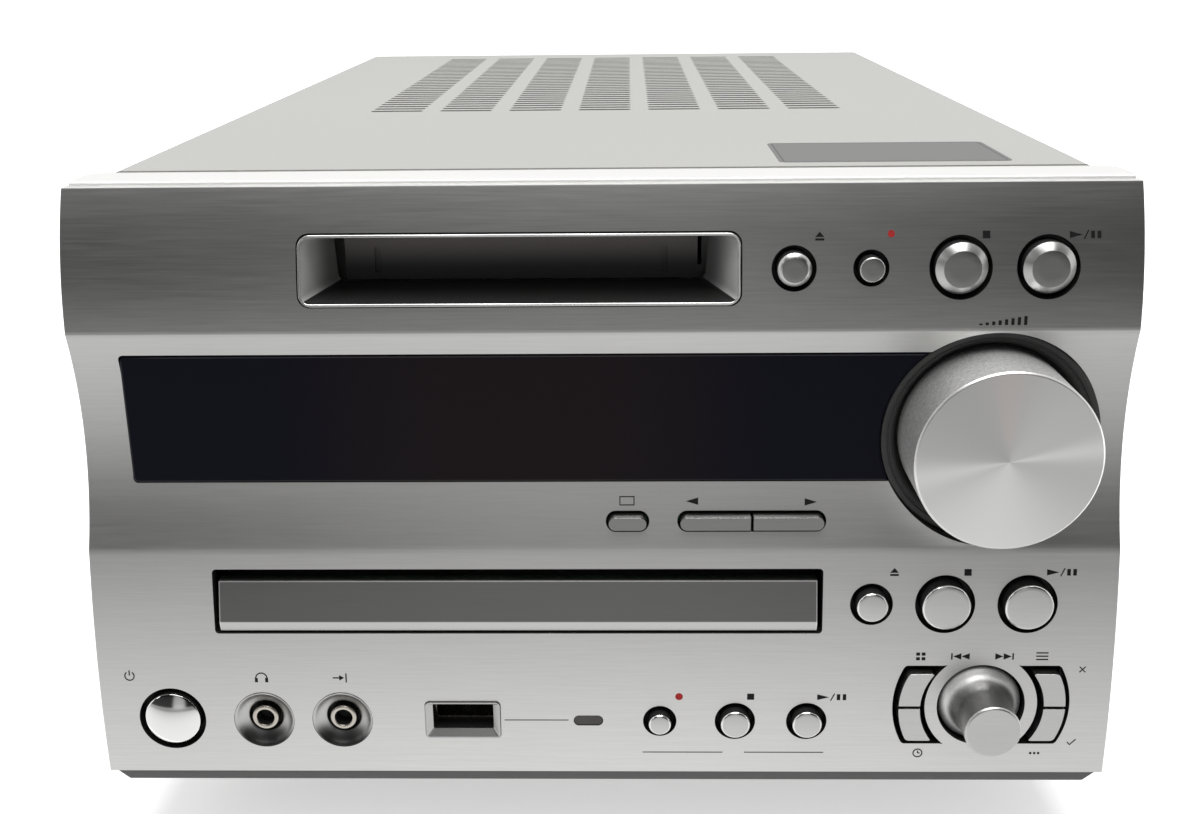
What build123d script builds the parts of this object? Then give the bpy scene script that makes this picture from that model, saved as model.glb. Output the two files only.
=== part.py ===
from build123d import *
from math import acos, cos, hypot, pi, radians, sin, sqrt, tan
import os

os.makedirs("parts", exist_ok=True)

# Disc and cartridge receiver, in millimetres.
# x runs to the right as seen from the front, y to the rear and z up. The origin is on the table under
# the middle of the whole object. Places on the front are (x, z) pairs from the middle of the fascia's
# top front edge, and depths run to the rear from that edge.

# Case sizes
fascia_width = 205.0
share = fascia_width / 205.0  # places and widths across the object keep their share of the fascia's width
fascia_wall = 3.0
foot_height = 14.0
body_drop = 124.0            # from the fascia's top edge to the underside of the chassis
case_depth = 317.8           # from the fascia's top edge to the rear edge of the cover
cover_front = 14.9
cover_inset = 3.9            # how far each side of the cover stands in from the fascia's side
cover_wall = 1.0
cover_rise = 1.0
cover_edge_r = 2.6
sheet = 1.2                  # steel of the chassis, the rear panel and the bracket
sheet_gap = 0.1              # between sheet pieces that are screwed together
panel_inset = 0.6            # rear panel ahead of the cover's rear edge
post_reach = 16.2            # speaker caps behind the cover's rear edge
jog_reach = 24.0             # selector knob's face ahead of the top edge

# Wave of the fascia, as (depth, height) of its creases and the bulge of each band
crease_1 = (-7.2, -27.1)
crease_2 = (-9.6, -70.9)
fascia_foot_depth = -13.6
fascia_foot_clear = 4.8      # fascia's lower edge above the chassis underside
upper_bulge = 1.4
middle_hollow = 4.0
lower_bulge = 1.3

# Front frame
frame_inset = 0.3
frame_gap = 0.1
frame_depth = 14.5
frame_wall = 2.5
frame_web = 2.0
frame_corner_r = 3.5
strip_rise = 0.7
lip_hang = 2.6
lip_depth = -12.5
lip_inset = 1.9
lip_slant = 1.6
ledge = 3.0

# Vents in the cover
vent_columns = 7
vent_pitch = 18.7 * share
vent_width = 14.0 * share
vent_x = -0.6
vent_length = 183.0
vent_rear_gap = 17.8         # cover behind the vents
vent_slots = 5
vent_bar = 4.0

# Cartridge slot, its bezel and its flap
md_bezel_at = (-15.06 * share, -15.25)
md_bezel_width = 84.4 * share
md_bezel_height = 13.57
md_bezel_corner_r = 2.4
md_bezel_proud = 0.5
md_bezel_rim = 0.9
md_bezel_end = 9.6
md_slot_x = -15.7 * share
md_slot_width = 73.2 * share
md_slot_top = -11.3
md_slot_bottom = -20.6
flap_side_gap = 1.4
flap_wall = 1.2
flap_pin_r = 0.8
flap_pin_length = 2.0
flap_pin_fit = 0.06
flap_ear = 3.6
flap_groove = 0.5            # depth of the two upright grooves in the flap
flap_groove_end = 6.5
flap_groove_width = 1.2
flap_groove_height = 5.0

# Cartridge drive behind the slot
cartridge_height = 6.2
cartridge_depth = 74.0
drive_width = 86.0 * share
drive_top = -4.5
drive_start = 21.4
drive_depth = 108.0
drive_wall = 1.5
drive_lid_rim = 8.0
drive_lid_hole_r = 21.6
bracket_side_gap = 3.0
bracket_window = 36.0        # length of the opening in each side of the bracket
bracket_apron = 20.0

# Display window
window_left = -93.24 * share
window_right = 66.0 * share
window_top = -31.7
window_bottom = -58.05
window_face = -6.0
window_thick = 2.6
window_corner_r = 1.0
window_chamfer = 0.5
trim_gap = 0.12              # around every insert in the fascia

# Volume knob and its ring
volume_at = (76.4 * share, -49.0)
ring_r = 21.35
ring_floor_depth = -1.6
ring_back_depth = 1.4
ring_hub = 13.2              # side of the square hole for the encoder's bush
knob_r = 17.66
knob_face_depth = -20.0
knob_back_depth = -2.4
knob_bore_end = 1.8          # face of the knob left over its bore
volume_shaft_r = 3.0
encoder_size = 13.5
bush_wall = 1.4
shaft_fit = 0.06

# Selector knob with its arc buttons
jog_at = (76.66 * share, -103.8)
jog_hole_r = 8.85
jog_knob_r = 5.56
jog_skirt_r = 8.3
jog_skirt_depth = -12.4
jog_back_depth = -10.6
jog_shaft_r = 2.0
jog_square = 2.6             # side of the shaft's square end, which drives the knob
jog_travel = 0.6
arc_inner_r = 11.3
arc_outer_r = 17.8
arc_half_height = 8.7
arc_stem_angle = radians(21)
arc_gap = 0.55
arc_split = 0.6
arc_proud = 0.7

# Round buttons: holes, gaps and travel
button_gap = 0.9             # between a button's cap and its hole, all round
button_travel = 0.6
button_clear = 0.3
button_flange = 1.2
button_lip = 1.2             # flange beyond the hole
stem = 3.0
md_hole_z = -15.25
cd_hole_z = -82.2
lower_hole_z = -107.4
power_hole_z = -107.0
tiny_hole_r = 3.4
small_hole_r = 4.25
usb_hole_r = 4.1
large_hole_r = 5.95
power_hole_r = 6.85
cap_proud = 1.3

# Pill buttons under the window
pill_z = -65.8
pill_gap = 0.6
pill_proud = 0.9
display_pill_x = 5.4 * share
display_pill_width = 8.64 * share
pill_height = 4.0
input_pill_x = 30.03 * share
input_pill_width = 29.5 * share
input_split = 0.6

# Disc tray and its opening
cd_x = -16.85 * share
tray_opening_left = -77.94 * share
tray_opening_right = 44.24 * share
tray_opening_top = -74.95
tray_opening_bottom = -88.25
tray_opening_corner_r = 0.8
tray_front_width = 120.2 * share
tray_front_top = -77.6
tray_front_clear = 0.35
tray_front_face = -12.4
tray_front_thick = 5.0
tray_front_bevel = 1.7
tray_width = 121.0 * share
tray_rim_top = -79.4
tray_floor = -81.3
tray_underside = -84.0
tray_end = 166.0
tray_travel = 130.0
disc_y = 56.0
disc_recess_r = 60.8
small_recess_r = 40.4
small_recess_step = 0.8
tray_slot_width = 34.0
run_gap = 0.35               # between the tray and the loader

# Rack and gear that move the tray
gear_module = 1.0
gear_teeth = 18
gear_height = 2.4
gear_y = 24.0
gear_pin_r = 1.5
gear_fit = 0.05
rack_inset = 5.0
rack_back = 2.0
backlash = 0.2
rack_sink = 0.1              # teeth drawn into the rack's back, so that they join it
pressure_angle = radians(20)

# Loader frame, traverse, turntable, pickup and clamp
loader_start = 12.0
loader_wall = 2.5
loader_floor_top = -102.0
loader_floor = 2.0
loader_top = -76.5
loader_leg = 8.0
loader_end_gap = 6.0         # loader behind the closed tray
guide_post = 3.6
guide_fit = 0.3
guide_inset = 4.0            # posts in from the traverse's corners
gear_clear = 0.1
traverse_half_width = 30.0
traverse_start = 38.0
traverse_end = 142.0
traverse_wall = 2.0
traverse_clear = 0.5         # between the lowered traverse and the loader's floor
traverse_lift = 7.1
motor_r = 12.0
motor_height = 8.3
platter_r = 14.5
platter_wall = 2.6
platter_gap = 0.5
hub_r = 7.3
hub_rise = 1.1
spindle_r = 1.0
rod_r = 1.5
rod_spread = 11.0
rod_height = 5.0             # over the traverse's plate
rod_block_width = 5.0
rod_block = 3.0
rod_slot_end = 4.0           # between a rod's block and the plate's slot
rod_end_gap = 9.5            # rods beyond the sled's travel
sled_width = 30.0
sled_length = 22.0
sled_height = 6.0
sled_y = 81.5
sled_travel = 34.0
lens_below_disc = 1.5
lens_r = 2.4
lens_rise = 0.6
bridge_wall = 1.5
bridge_width = 22.0
puck_r = 14.6
puck_rim = 2.4
puck_rise = 1.8
puck_low = -79.4

# Boards, transformer and heat sink
board_depth = 9.0
board_wall = 1.6
board_clear = 2.0            # around the slot's bezel and the tray
switch_size = 6.0
switch_height = 3.5
main_board_stand = 8.0
main_board_left = -8.0 * share
main_board_right = 92.0 * share
main_board_gap = 8.0         # between the heat sink and the main board
board_post = 5.0             # side of each stand-off, and its middle in from the board's edges
board_post_end = 12.0
board_end_gap = 0.5
capacitor_r = 12.5
capacitor_height = 35.0
capacitor_in = 26.0          # capacitor's middle in from the board's corner, each way
core_width = 66.0
core_depth = 34.0
core_height = 56.0
coil_width = 40.0
coil_depth = 52.0
coil_height = 44.0
coil_corner_r = 6.0
transformer_x = -55.0 * share
sink_gap = 6.0               # between the loader and the heat sink
sink_width = 120.0 * share
sink_base = 4.0
sink_depth = 28.0
sink_height = 86.0
sink_fins = 12
sink_fin = 1.8

# Front sockets
headphone_x = -69.27 * share
line_in_x = -53.15 * share
jack_z = -107.25
bowl_r = 6.2
bowl_hole_r = 3.5
bowl_floor = 1.0
bowl_margin = 1.2            # of the plate behind the fascia, around each round opening
jack_bore_r = 1.75
jack_ferrule_r = 2.7
jack_below_skin = 0.85
jack_bore_length = 15.0
jack_block = 11.0
usb_at = (-28.4 * share, -107.2)
usb_width = 15.3
usb_height = 8.2
usb_opening_at = (usb_at[0] + 0.2, -106.5)
usb_opening_width = 12.4
usb_opening_height = 5.7
usb_bezel_end = -8.6
usb_bevel = 1.2
usb_proud = 0.3
usb_shell = 0.5
usb_tongue = 1.9
lamp_at = (-2.74 * share, -107.3)
lamp_width = 5.8
lamp_height = 2.04
lamp_sunk = 0.15

# Rear sockets
phono_at = (30.0 * share, -93.0)
phono_block = 15.0
phono_pitch = 14.0
phono_r = 4.2
phono_bore_r = 1.7
phono_reach = 9.5
speaker_at = (-48.0 * share, -36.0)
speaker_pitch = 15.0
speaker_plate = 3.0
speaker_post_r = 2.0
speaker_cap_r = 5.5
speaker_cap_length = 10.4
speaker_cap_end = 1.8
speaker_cap_sides = 10
aerial_at = (38.0 * share, -33.0)
aerial_r = 4.7
inlet_at = (-78.0 * share, -98.0)
inlet_width = 24.0
inlet_height = 16.0
inlet_lip = 1.6
inlet_depth = 16.0
inlet_well = 12.0
inlet_pin = 2.2
inlet_pin_pitch = 8.6
foot_r = 17.5
foot_x = 76.0 * share
foot_front_y = 46.0
foot_rear_in = 33.8          # rear feet ahead of the cover's rear edge
flange_height = 15.0

# Places that follow from the sizes
edge_z = foot_height + body_drop
rear_reach = case_depth + post_reach
edge_y = (jog_reach - rear_reach) / 2
fascia_foot = (fascia_foot_depth, fascia_foot_clear - body_drop)
bands = [
    ((0.0, 0.0), crease_1, upper_bulge),
    (crease_1, crease_2, -middle_hollow),
    (crease_2, fascia_foot, lower_bulge),
]
cover_width = fascia_width - 2 * cover_inset
frame_width = fascia_width - 2 * frame_inset
frame_bottom = fascia_foot[1]
chassis_floor = sheet - body_drop
panel_depth = case_depth - panel_inset - sheet
chassis_half = cover_width / 2 - cover_wall - sheet_gap
loader_end = tray_end + loader_end_gap
sink_start = loader_end + sink_gap
sink_end = sink_start + sink_depth
transformer_at = (transformer_x, (sink_end + panel_depth + sheet - inlet_depth) / 2)
main_board_start = sink_end + main_board_gap
foot_rear_y = case_depth - foot_rear_in
through = 60.0


def front(depth):
    """Plane that faces the front, at a depth behind the top edge."""
    return Plane(origin=(0, edge_y + depth, edge_z), x_dir=(1, 0, 0), z_dir=(0, -1, 0))


def side(across):
    """Plane that faces right, with depth and height as its own axes."""
    return Plane(origin=(across, edge_y, edge_z), x_dir=(0, 1, 0), z_dir=(1, 0, 0))


def level(height):
    """Plane that faces up, at a height above the top edge."""
    return Plane(origin=(0, edge_y, edge_z + height), x_dir=(1, 0, 0), z_dir=(0, 0, 1))


def turning(place):
    """Plane for a profile of (radius, depth) turned about an axis that runs to the rear."""
    return Plane(origin=(place[0], edge_y, edge_z + place[1]), x_dir=(1, 0, 0), z_dir=(0, 0, 1))


def upright(across, depth):
    """Plane for a profile of (radius, height) turned about a vertical axis."""
    return Plane(origin=(across, edge_y + depth, edge_z), x_dir=(1, 0, 0), z_dir=(0, -1, 0))


def span(low, high, start, end, mode=Mode.ADD):
    """Rectangle between two limits each way, in the current sketch."""
    with Locations(((low + high) / 2, (start + end) / 2)):
        Rectangle(high - low, end - start, mode=mode)


def band_circle(start, end, bulge):
    """Middle of a band's arc, with the centre and the signed radius of its circle."""
    chord = hypot(end[0] - start[0], end[1] - start[1])
    outward = ((end[1] - start[1]) / chord, (start[0] - end[0]) / chord)
    middle = ((start[0] + end[0]) / 2, (start[1] + end[1]) / 2)
    radius = ((chord / 2) ** 2 + bulge**2) / (2 * bulge)
    crown = (middle[0] + outward[0] * bulge, middle[1] + outward[1] * bulge)
    centre = (crown[0] - outward[0] * radius, crown[1] - outward[1] * radius)
    return crown, centre, radius


def skin(height):
    """Depth of the fascia's front face at a height below its top edge."""
    height = min(0.0, max(fascia_foot[1], height))
    band = next(band for band in bands if height >= band[1][1] - 1e-9)
    _, centre, radius = band_circle(*band)
    reach = sqrt(radius**2 - (height - centre[1]) ** 2)
    return centre[0] - reach if radius > 0 else centre[0] + reach


def wave(set_back):
    """Draw the fascia's side profile, moved back by this much."""
    for start, end, bulge in bands:
        crown = band_circle(start, end, bulge)[0]
        ThreePointArc(*[(depth + set_back, height) for depth, height in (start, crown, end)])


def seat_depth(height, half_height):
    """Depth just behind the fascia's back, over a stretch of its height."""
    reach = [skin(height + half_height), skin(height), skin(height - half_height)]
    return max(reach) + fascia_wall + button_clear


def arc_pair(margin):
    """Ring round the selector, grown by a margin and cut off level above and below."""
    with Locations(jog_at):
        Circle(arc_outer_r + margin)
        Circle(arc_inner_r - margin, mode=Mode.SUBTRACT)
        Rectangle(4 * arc_outer_r, 2 * (arc_half_height + margin), mode=Mode.INTERSECT)


def arc_quarter(margin, hand, rise):
    """One of the four quarters of that ring: hand and rise are 1 or -1."""
    arc_pair(margin)
    tall = arc_half_height + 2 * arc_gap
    with Locations((jog_at[0] + hand * arc_outer_r, jog_at[1] + rise * (tall + arc_split) / 2)):
        Rectangle(2 * arc_outer_r, tall, mode=Mode.INTERSECT)


# Each round button: its place and the radius of its hole
round_buttons = {
    "md_eject_button": ((37.0 * share, md_hole_z), small_hole_r),
    "md_rec_button": ((51.5 * share, md_hole_z), tiny_hole_r),
    "md_stop_button": ((68.3 * share, md_hole_z), large_hole_r),
    "md_play_button": ((84.7 * share, md_hole_z), large_hole_r),
    "cd_eject_button": ((53.9 * share, cd_hole_z), small_hole_r),
    "cd_stop_button": ((68.5 * share, cd_hole_z), large_hole_r),
    "cd_play_button": ((84.8 * share, cd_hole_z), large_hole_r),
    "power_button": ((-88.13 * share, power_hole_z), power_hole_r),
    "usb_rec_button": ((11.8 * share, lower_hole_z), tiny_hole_r),
    "usb_stop_button": ((27.1 * share, lower_hole_z), usb_hole_r),
    "usb_play_button": ((41.6 * share, lower_hole_z), usb_hole_r),
}
pill_buttons = {
    "display_button": (display_pill_x - display_pill_width / 2, display_pill_x + display_pill_width / 2),
    "input_left_button": (input_pill_x - input_pill_width / 2, input_pill_x - input_split / 2),
    "input_right_button": (input_pill_x + input_split / 2, input_pill_x + input_pill_width / 2),
}
arc_buttons = {
    "group_button": (-1, 1),
    "timer_button": (-1, -1),
    "menu_button": (1, 1),
    "mode_button": (1, -1),
}
jack_places = [(headphone_x, jack_z), (line_in_x, jack_z)]


# Fascia: a wave-shaped aluminium panel with every opening cut straight through from the front
with BuildPart() as front_fascia:
    with BuildSketch(side(-fascia_width / 2)):
        with BuildLine():
            wave(0)
            Line(fascia_foot, (fascia_foot[0] + fascia_wall, fascia_foot[1]))
            wave(fascia_wall)
            Line((0, 0), (fascia_wall, 0))
        make_face()
    extrude(amount=fascia_width)
    with BuildSketch(front(-through)):
        with Locations(md_bezel_at):
            RectangleRounded(
                md_bezel_width + 2 * trim_gap, md_bezel_height + 2 * trim_gap, md_bezel_corner_r
            )
        span(window_left - trim_gap, window_right, window_bottom - trim_gap, window_top + trim_gap)
        with Locations(volume_at):
            Circle(ring_r + trim_gap)
        with Locations((display_pill_x, pill_z)):
            SlotOverall(display_pill_width, pill_height)
        with Locations((input_pill_x, pill_z)):
            SlotOverall(input_pill_width, pill_height)
        with Locations(
            ((tray_opening_left + tray_opening_right) / 2, (tray_opening_top + tray_opening_bottom) / 2)
        ):
            RectangleRounded(
                tray_opening_right - tray_opening_left,
                tray_opening_top - tray_opening_bottom,
                tray_opening_corner_r,
            )
        for place, hole_r in round_buttons.values():
            with Locations(place):
                Circle(hole_r)
        for place in jack_places:
            with Locations(place):
                Circle(bowl_r)
        with Locations(usb_at):
            Rectangle(usb_width + 2 * trim_gap, usb_height + 2 * trim_gap)
        with Locations(lamp_at):
            SlotOverall(lamp_width + 2 * trim_gap, lamp_height + 2 * trim_gap)
        with Locations(jog_at):
            Circle(jog_hole_r)
    extrude(amount=-2 * through, mode=Mode.SUBTRACT)
    with BuildSketch(front(-through)):
        arc_pair(0)
    extrude(amount=-2 * through, mode=Mode.SUBTRACT)
front_fascia.part.label = "front_fascia"
export_step(front_fascia.part, "parts/front_fascia.step")


# Front frame: moulded ring behind the fascia, with its top strip, lower lip, web and board ledges
frame_front = fascia_wall + frame_gap
frame_inner = frame_width / 2 - frame_wall
with BuildPart() as front_frame:
    with BuildSketch(side(-frame_width / 2)):
        with BuildLine():
            wave(frame_front)
            Line((fascia_foot[0] + frame_front, frame_bottom), (frame_depth, frame_bottom))
            Line((frame_depth, frame_bottom), (frame_depth, 0))
            Line((frame_depth, 0), (frame_front, 0))
        make_face()
        span(frame_front, frame_depth, -frame_wall, strip_rise)
    extrude(amount=frame_width)
    fillet(front_frame.edges().filter_by(Axis.Z).sort_by(Axis.Y)[-2:], radius=frame_corner_r)
    with BuildSketch(side(-frame_inner)):
        with BuildLine():
            wave(frame_front + frame_web)
            Line((fascia_foot[0] + frame_front + frame_web, frame_bottom), (through, frame_bottom))
            Line((through, frame_bottom), (through, 0))
            Line((through, 0), (frame_front + frame_web, 0))
        make_face()
        span(-through, 2 * through, frame_bottom + frame_wall, strip_rise - frame_wall, Mode.INTERSECT)
    extrude(amount=2 * frame_inner, mode=Mode.SUBTRACT)
    with BuildSketch(front(-through)):
        span(
            md_bezel_at[0] - md_bezel_width / 2 - trim_gap,
            round_buttons["md_play_button"][0][0] + large_hole_r + 2 * button_lip,
            md_bezel_at[1] - md_bezel_height / 2 - button_lip,
            md_bezel_at[1] + md_bezel_height / 2 + button_lip,
        )
        span(
            window_left + frame_web, window_right - frame_web,
            window_bottom + frame_web, window_top - frame_web,
        )
        with Locations(volume_at):
            Rectangle(2 * (ring_r + button_clear), 2 * (ring_r + button_clear))
        span(
            display_pill_x - display_pill_width / 2 - 2 * button_lip,
            input_pill_x + input_pill_width / 2 + 2 * button_lip,
            pill_z - pill_height / 2 - 1.5 * button_lip,
            pill_z + pill_height / 2 + 1.5 * button_lip,
        )
        span(
            tray_opening_left - button_lip,
            round_buttons["cd_play_button"][0][0] + large_hole_r + 2 * button_lip,
            tray_opening_bottom - button_lip,
            cd_hole_z + large_hole_r + 1.5 * button_lip,
        )
        span(
            round_buttons["power_button"][0][0] - power_hole_r - 1.5 * button_lip,
            round_buttons["usb_play_button"][0][0] + usb_hole_r + 2 * button_lip,
            power_hole_z - power_hole_r - 1.5 * button_lip,
            power_hole_z + power_hole_r + 2 * button_lip,
        )
        with Locations(jog_at):
            Rectangle(
                2 * (arc_outer_r + 1.5 * button_lip), 2 * (arc_half_height + 2 * button_lip)
            )
    extrude(amount=-2 * through, mode=Mode.SUBTRACT)
    for hand in (-1, 1):
        with BuildSketch(front(board_depth)):
            ledge_x = hand * (frame_inner - ledge / 2)
            with Locations((ledge_x, frame_bottom / 2)):
                Rectangle(ledge, -frame_bottom - 8 * frame_wall)
        extrude(amount=ledge)
    with BuildSketch(front(frame_depth)):
        with BuildLine():
            lip_top = (frame_width / 2 - lip_inset, frame_bottom)
            lip_low = (frame_width / 2 - lip_inset - lip_slant, frame_bottom - lip_hang)
            Polyline(
                (-lip_top[0], lip_top[1]), (-lip_low[0], lip_low[1]), lip_low, lip_top, close=True
            )
        make_face()
    extrude(amount=frame_depth - lip_depth)
    with BuildSketch(side(-frame_width)):
        span(
            2 * fascia_foot_depth,
            fascia_foot_depth + frame_front,
            frame_bottom - frame_gap,
            frame_bottom + frame_wall,
        )
    extrude(amount=2 * frame_width, mode=Mode.SUBTRACT)
front_frame.part.label = "front_frame"
export_step(front_frame.part, "parts/front_frame.step")


# Cartridge slot bezel: a funnel with a rim that follows the fascia, and two ears for the flap's pins
bezel_top = md_bezel_at[1] + md_bezel_height / 2
bezel_low = md_bezel_at[1] - md_bezel_height / 2
slot_middle = (md_slot_top + md_slot_bottom) / 2
flap_axis = (md_bezel_end + flap_wall / 2 + button_clear, md_slot_top + flap_pin_r)
flap_half = md_slot_width / 2 - flap_side_gap
with BuildPart() as md_slot_bezel:
    with BuildSketch(side(md_bezel_at[0] - md_bezel_width / 2)):
        with BuildLine():
            Polyline(
                (skin(bezel_top) - md_bezel_proud, bezel_top),
                (skin(bezel_low) - md_bezel_proud, bezel_low),
                (md_bezel_end, bezel_low),
                (md_bezel_end, bezel_top),
                close=True,
            )
        make_face()
    extrude(amount=md_bezel_width)
    fillet(md_slot_bezel.edges().filter_by(Axis.Y), radius=md_bezel_corner_r)
    with BuildSketch(front(skin(bezel_low) - 2 * md_bezel_proud)):
        with Locations(md_bezel_at):
            Rectangle(md_bezel_width - 2 * md_bezel_rim, md_bezel_height - 2 * md_bezel_rim)
    with BuildSketch(front(md_bezel_end)):
        with Locations((md_slot_x, slot_middle)):
            Rectangle(md_slot_width, md_slot_top - md_slot_bottom)
    loft(mode=Mode.SUBTRACT)
    for hand in (-1, 1):
        ear_start = md_slot_x + hand * (flap_half + button_clear)
        with BuildSketch(side(min(ear_start, ear_start + hand * (flap_pin_length + button_clear)))):
            span(
                md_bezel_end, flap_axis[0] + flap_ear / 2, flap_axis[1] - flap_ear / 2,
                flap_axis[1] + flap_ear / 2,
            )
            with Locations(flap_axis):
                Circle(flap_pin_r + flap_pin_fit, mode=Mode.SUBTRACT)
        extrude(amount=flap_pin_length + button_clear)
md_slot_bezel.part.label = "md_slot_bezel"
export_step(md_slot_bezel.part, "parts/md_slot_bezel.step")


# Slot flap: hangs from two pins behind the bezel and swings inwards
with BuildPart() as md_slot_flap:
    with BuildSketch(front(flap_axis[0] + flap_wall / 2)):
        span(md_slot_x - flap_half, md_slot_x + flap_half, md_slot_bottom + button_clear, flap_axis[1])
    extrude(amount=flap_wall)
    with BuildSketch(front(flap_axis[0] - flap_wall / 2)):
        for hand in (-1, 1):
            with Locations((md_slot_x + hand * (flap_half - flap_groove_end), slot_middle - flap_groove)):
                Rectangle(flap_groove_width, flap_groove_height)
    extrude(amount=-flap_groove, mode=Mode.SUBTRACT)
    with BuildSketch(side(md_slot_x - flap_half - flap_pin_length)):
        with Locations(flap_axis):
            Circle(flap_pin_r)
    extrude(amount=2 * (flap_half + flap_pin_length))
md_slot_flap.part.label = "md_slot_flap"
export_step(md_slot_flap.part, "parts/md_slot_flap.step")


# Cartridge drive: a sheet metal box, open to the slot, on a bracket that bridges the disc loader
cartridge_bottom = md_slot_bottom + button_clear
drive_bottom = cartridge_bottom - 2 * drive_wall
drive_left = md_slot_x - drive_width / 2
with BuildPart() as md_drive:
    with BuildSketch(level(drive_bottom)):
        span(drive_left, drive_left + drive_width, drive_start, drive_start + drive_depth)
    extrude(amount=drive_top - drive_bottom)
    with BuildSketch(front(drive_start)):
        span(
            md_slot_x - md_slot_width / 2, md_slot_x + md_slot_width / 2, cartridge_bottom,
            cartridge_bottom + cartridge_height,
        )
    extrude(amount=-cartridge_depth, mode=Mode.SUBTRACT)
    with BuildSketch(level(drive_top)):
        span(
            drive_left + drive_lid_rim, drive_left + drive_width - drive_lid_rim,
            drive_start + drive_lid_rim, drive_start + drive_depth - drive_lid_rim,
        )
        with Locations((md_slot_x, drive_start + drive_depth / 2)):
            Circle(drive_lid_hole_r, mode=Mode.SUBTRACT)
    extrude(amount=-drive_wall, mode=Mode.SUBTRACT)
md_drive.part.label = "md_drive"
export_step(md_drive.part, "parts/md_drive.step")


# Places of the disc loader
tray_left = cd_x - tray_width / 2
tray_right = cd_x + tray_width / 2
loader_left = tray_left - run_gap - loader_wall
loader_right = tray_right + run_gap + loader_wall
gear_pitch_r = gear_module * gear_teeth / 2
rack_pitch_x = tray_left + rack_inset + rack_back + 1.25 * gear_module
gear_x = rack_pitch_x + gear_pitch_r
gear_top = tray_underside - run_gap - gear_clear
rack_bottom = gear_top - gear_height
ledge_top = tray_underside - run_gap

# Drive bracket: bent steel bridge that stands on the chassis astride the disc loader
leg_left = loader_left - bracket_side_gap
leg_right = loader_right + bracket_side_gap
with BuildPart() as drive_bracket:
    with BuildSketch(front(drive_start + drive_depth)):
        span(leg_left - sheet, leg_right + sheet, chassis_floor, drive_bottom)
        span(leg_left, leg_right, chassis_floor, drive_bottom - sheet, Mode.SUBTRACT)
    extrude(amount=drive_depth)
    with BuildSketch(side(leg_left - 2 * sheet)):
        bracket_middle = drive_start + drive_depth / 2
        span(
            bracket_middle - bracket_window / 2, bracket_middle + bracket_window / 2,
            chassis_floor - sheet, drive_bottom - bracket_apron,
        )
    extrude(amount=leg_right - leg_left + 4 * sheet, mode=Mode.SUBTRACT)
drive_bracket.part.label = "drive_bracket"
export_step(drive_bracket.part, "parts/drive_bracket.step")


# Display window: flat dark pane, scooped at its right end to fit the volume ring
with BuildPart() as display_window:
    with BuildSketch(front(window_face + window_thick)) as pane:
        span(window_left, window_right - trim_gap, window_bottom, window_top)
        with Locations(volume_at):
            Circle(ring_r + trim_gap, mode=Mode.SUBTRACT)
        fillet(pane.vertices().sort_by(Axis.X)[:2], radius=window_corner_r)
    extrude(amount=window_thick)
    chamfer(display_window.faces().sort_by(Axis.Y)[0].outer_wire().edges(), length=window_chamfer)
display_window.part.label = "display_window"
export_step(display_window.part, "parts/display_window.step")


# Volume ring: sunk floor of the round opening, with a hole for the encoder's bush
with BuildPart() as volume_ring:
    with BuildSketch(front(ring_back_depth)):
        with Locations(volume_at):
            Circle(ring_r)
            Rectangle(ring_hub, ring_hub, mode=Mode.SUBTRACT)
    extrude(amount=ring_back_depth - ring_floor_depth)
volume_ring.part.label = "volume_ring"
export_step(volume_ring.part, "parts/volume_ring.step")


# Volume knob: turned aluminium knob, bored from behind for its shaft
knob_inside = knob_face_depth + knob_bore_end
with BuildPart() as volume_knob:
    with BuildSketch(front(knob_back_depth)):
        with Locations(volume_at):
            Circle(knob_r)
    extrude(amount=knob_back_depth - knob_face_depth)
    with BuildSketch(front(knob_back_depth)):
        with Locations(volume_at):
            Circle(volume_shaft_r)
    extrude(amount=knob_back_depth - knob_inside, mode=Mode.SUBTRACT)
volume_knob.part.label = "volume_knob"
export_step(volume_knob.part, "parts/volume_knob.step")

# Volume shaft: steel pin from the knob's boss into the encoder's bush
with BuildPart() as volume_shaft:
    with BuildSketch(front(board_depth - button_clear)):
        with Locations(volume_at):
            Circle(volume_shaft_r - frame_gap / 5)
    extrude(amount=board_depth - button_clear - knob_inside - frame_gap)
volume_shaft.part.label = "volume_shaft"
export_step(volume_shaft.part, "parts/volume_shaft.step")


# Selector knob: slim turned knob with a skirt inside its hole and a square bore
jog_inside = knob_bore_end - jog_reach
with BuildPart() as jog_knob:
    with BuildSketch(front(jog_back_depth)):
        with Locations(jog_at):
            Circle(jog_skirt_r)
    extrude(amount=jog_back_depth - jog_skirt_depth)
    with BuildSketch(front(jog_back_depth)):
        with Locations(jog_at):
            Circle(jog_knob_r)
    extrude(amount=jog_back_depth + jog_reach)
    with BuildSketch(front(jog_back_depth)):
        with Locations(jog_at):
            Rectangle(jog_square + 2 * shaft_fit, jog_square + 2 * shaft_fit)
    extrude(amount=jog_back_depth - jog_inside, mode=Mode.SUBTRACT)
jog_knob.part.label = "jog_knob"
export_step(jog_knob.part, "parts/jog_knob.step")

# Selector shaft: turns in the encoder, and the knob slides on its square end when pressed
with BuildPart() as jog_shaft:
    with BuildSketch(front(board_depth - button_clear)):
        with Locations(jog_at):
            Circle(jog_shaft_r)
    extrude(amount=board_depth - jog_back_depth - 2 * button_clear - jog_travel)
    with BuildSketch(front(jog_back_depth)):
        with Locations(jog_at):
            Rectangle(jog_square, jog_square)
    extrude(amount=jog_back_depth - jog_inside - jog_travel - button_clear)
    with BuildSketch(front(jog_back_depth)):
        with Locations(jog_at):
            Rectangle(jog_square, jog_square)
    extrude(amount=-(jog_travel + 2 * button_clear))
jog_shaft.part.label = "jog_shaft"
export_step(jog_shaft.part, "parts/jog_shaft.step")


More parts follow.
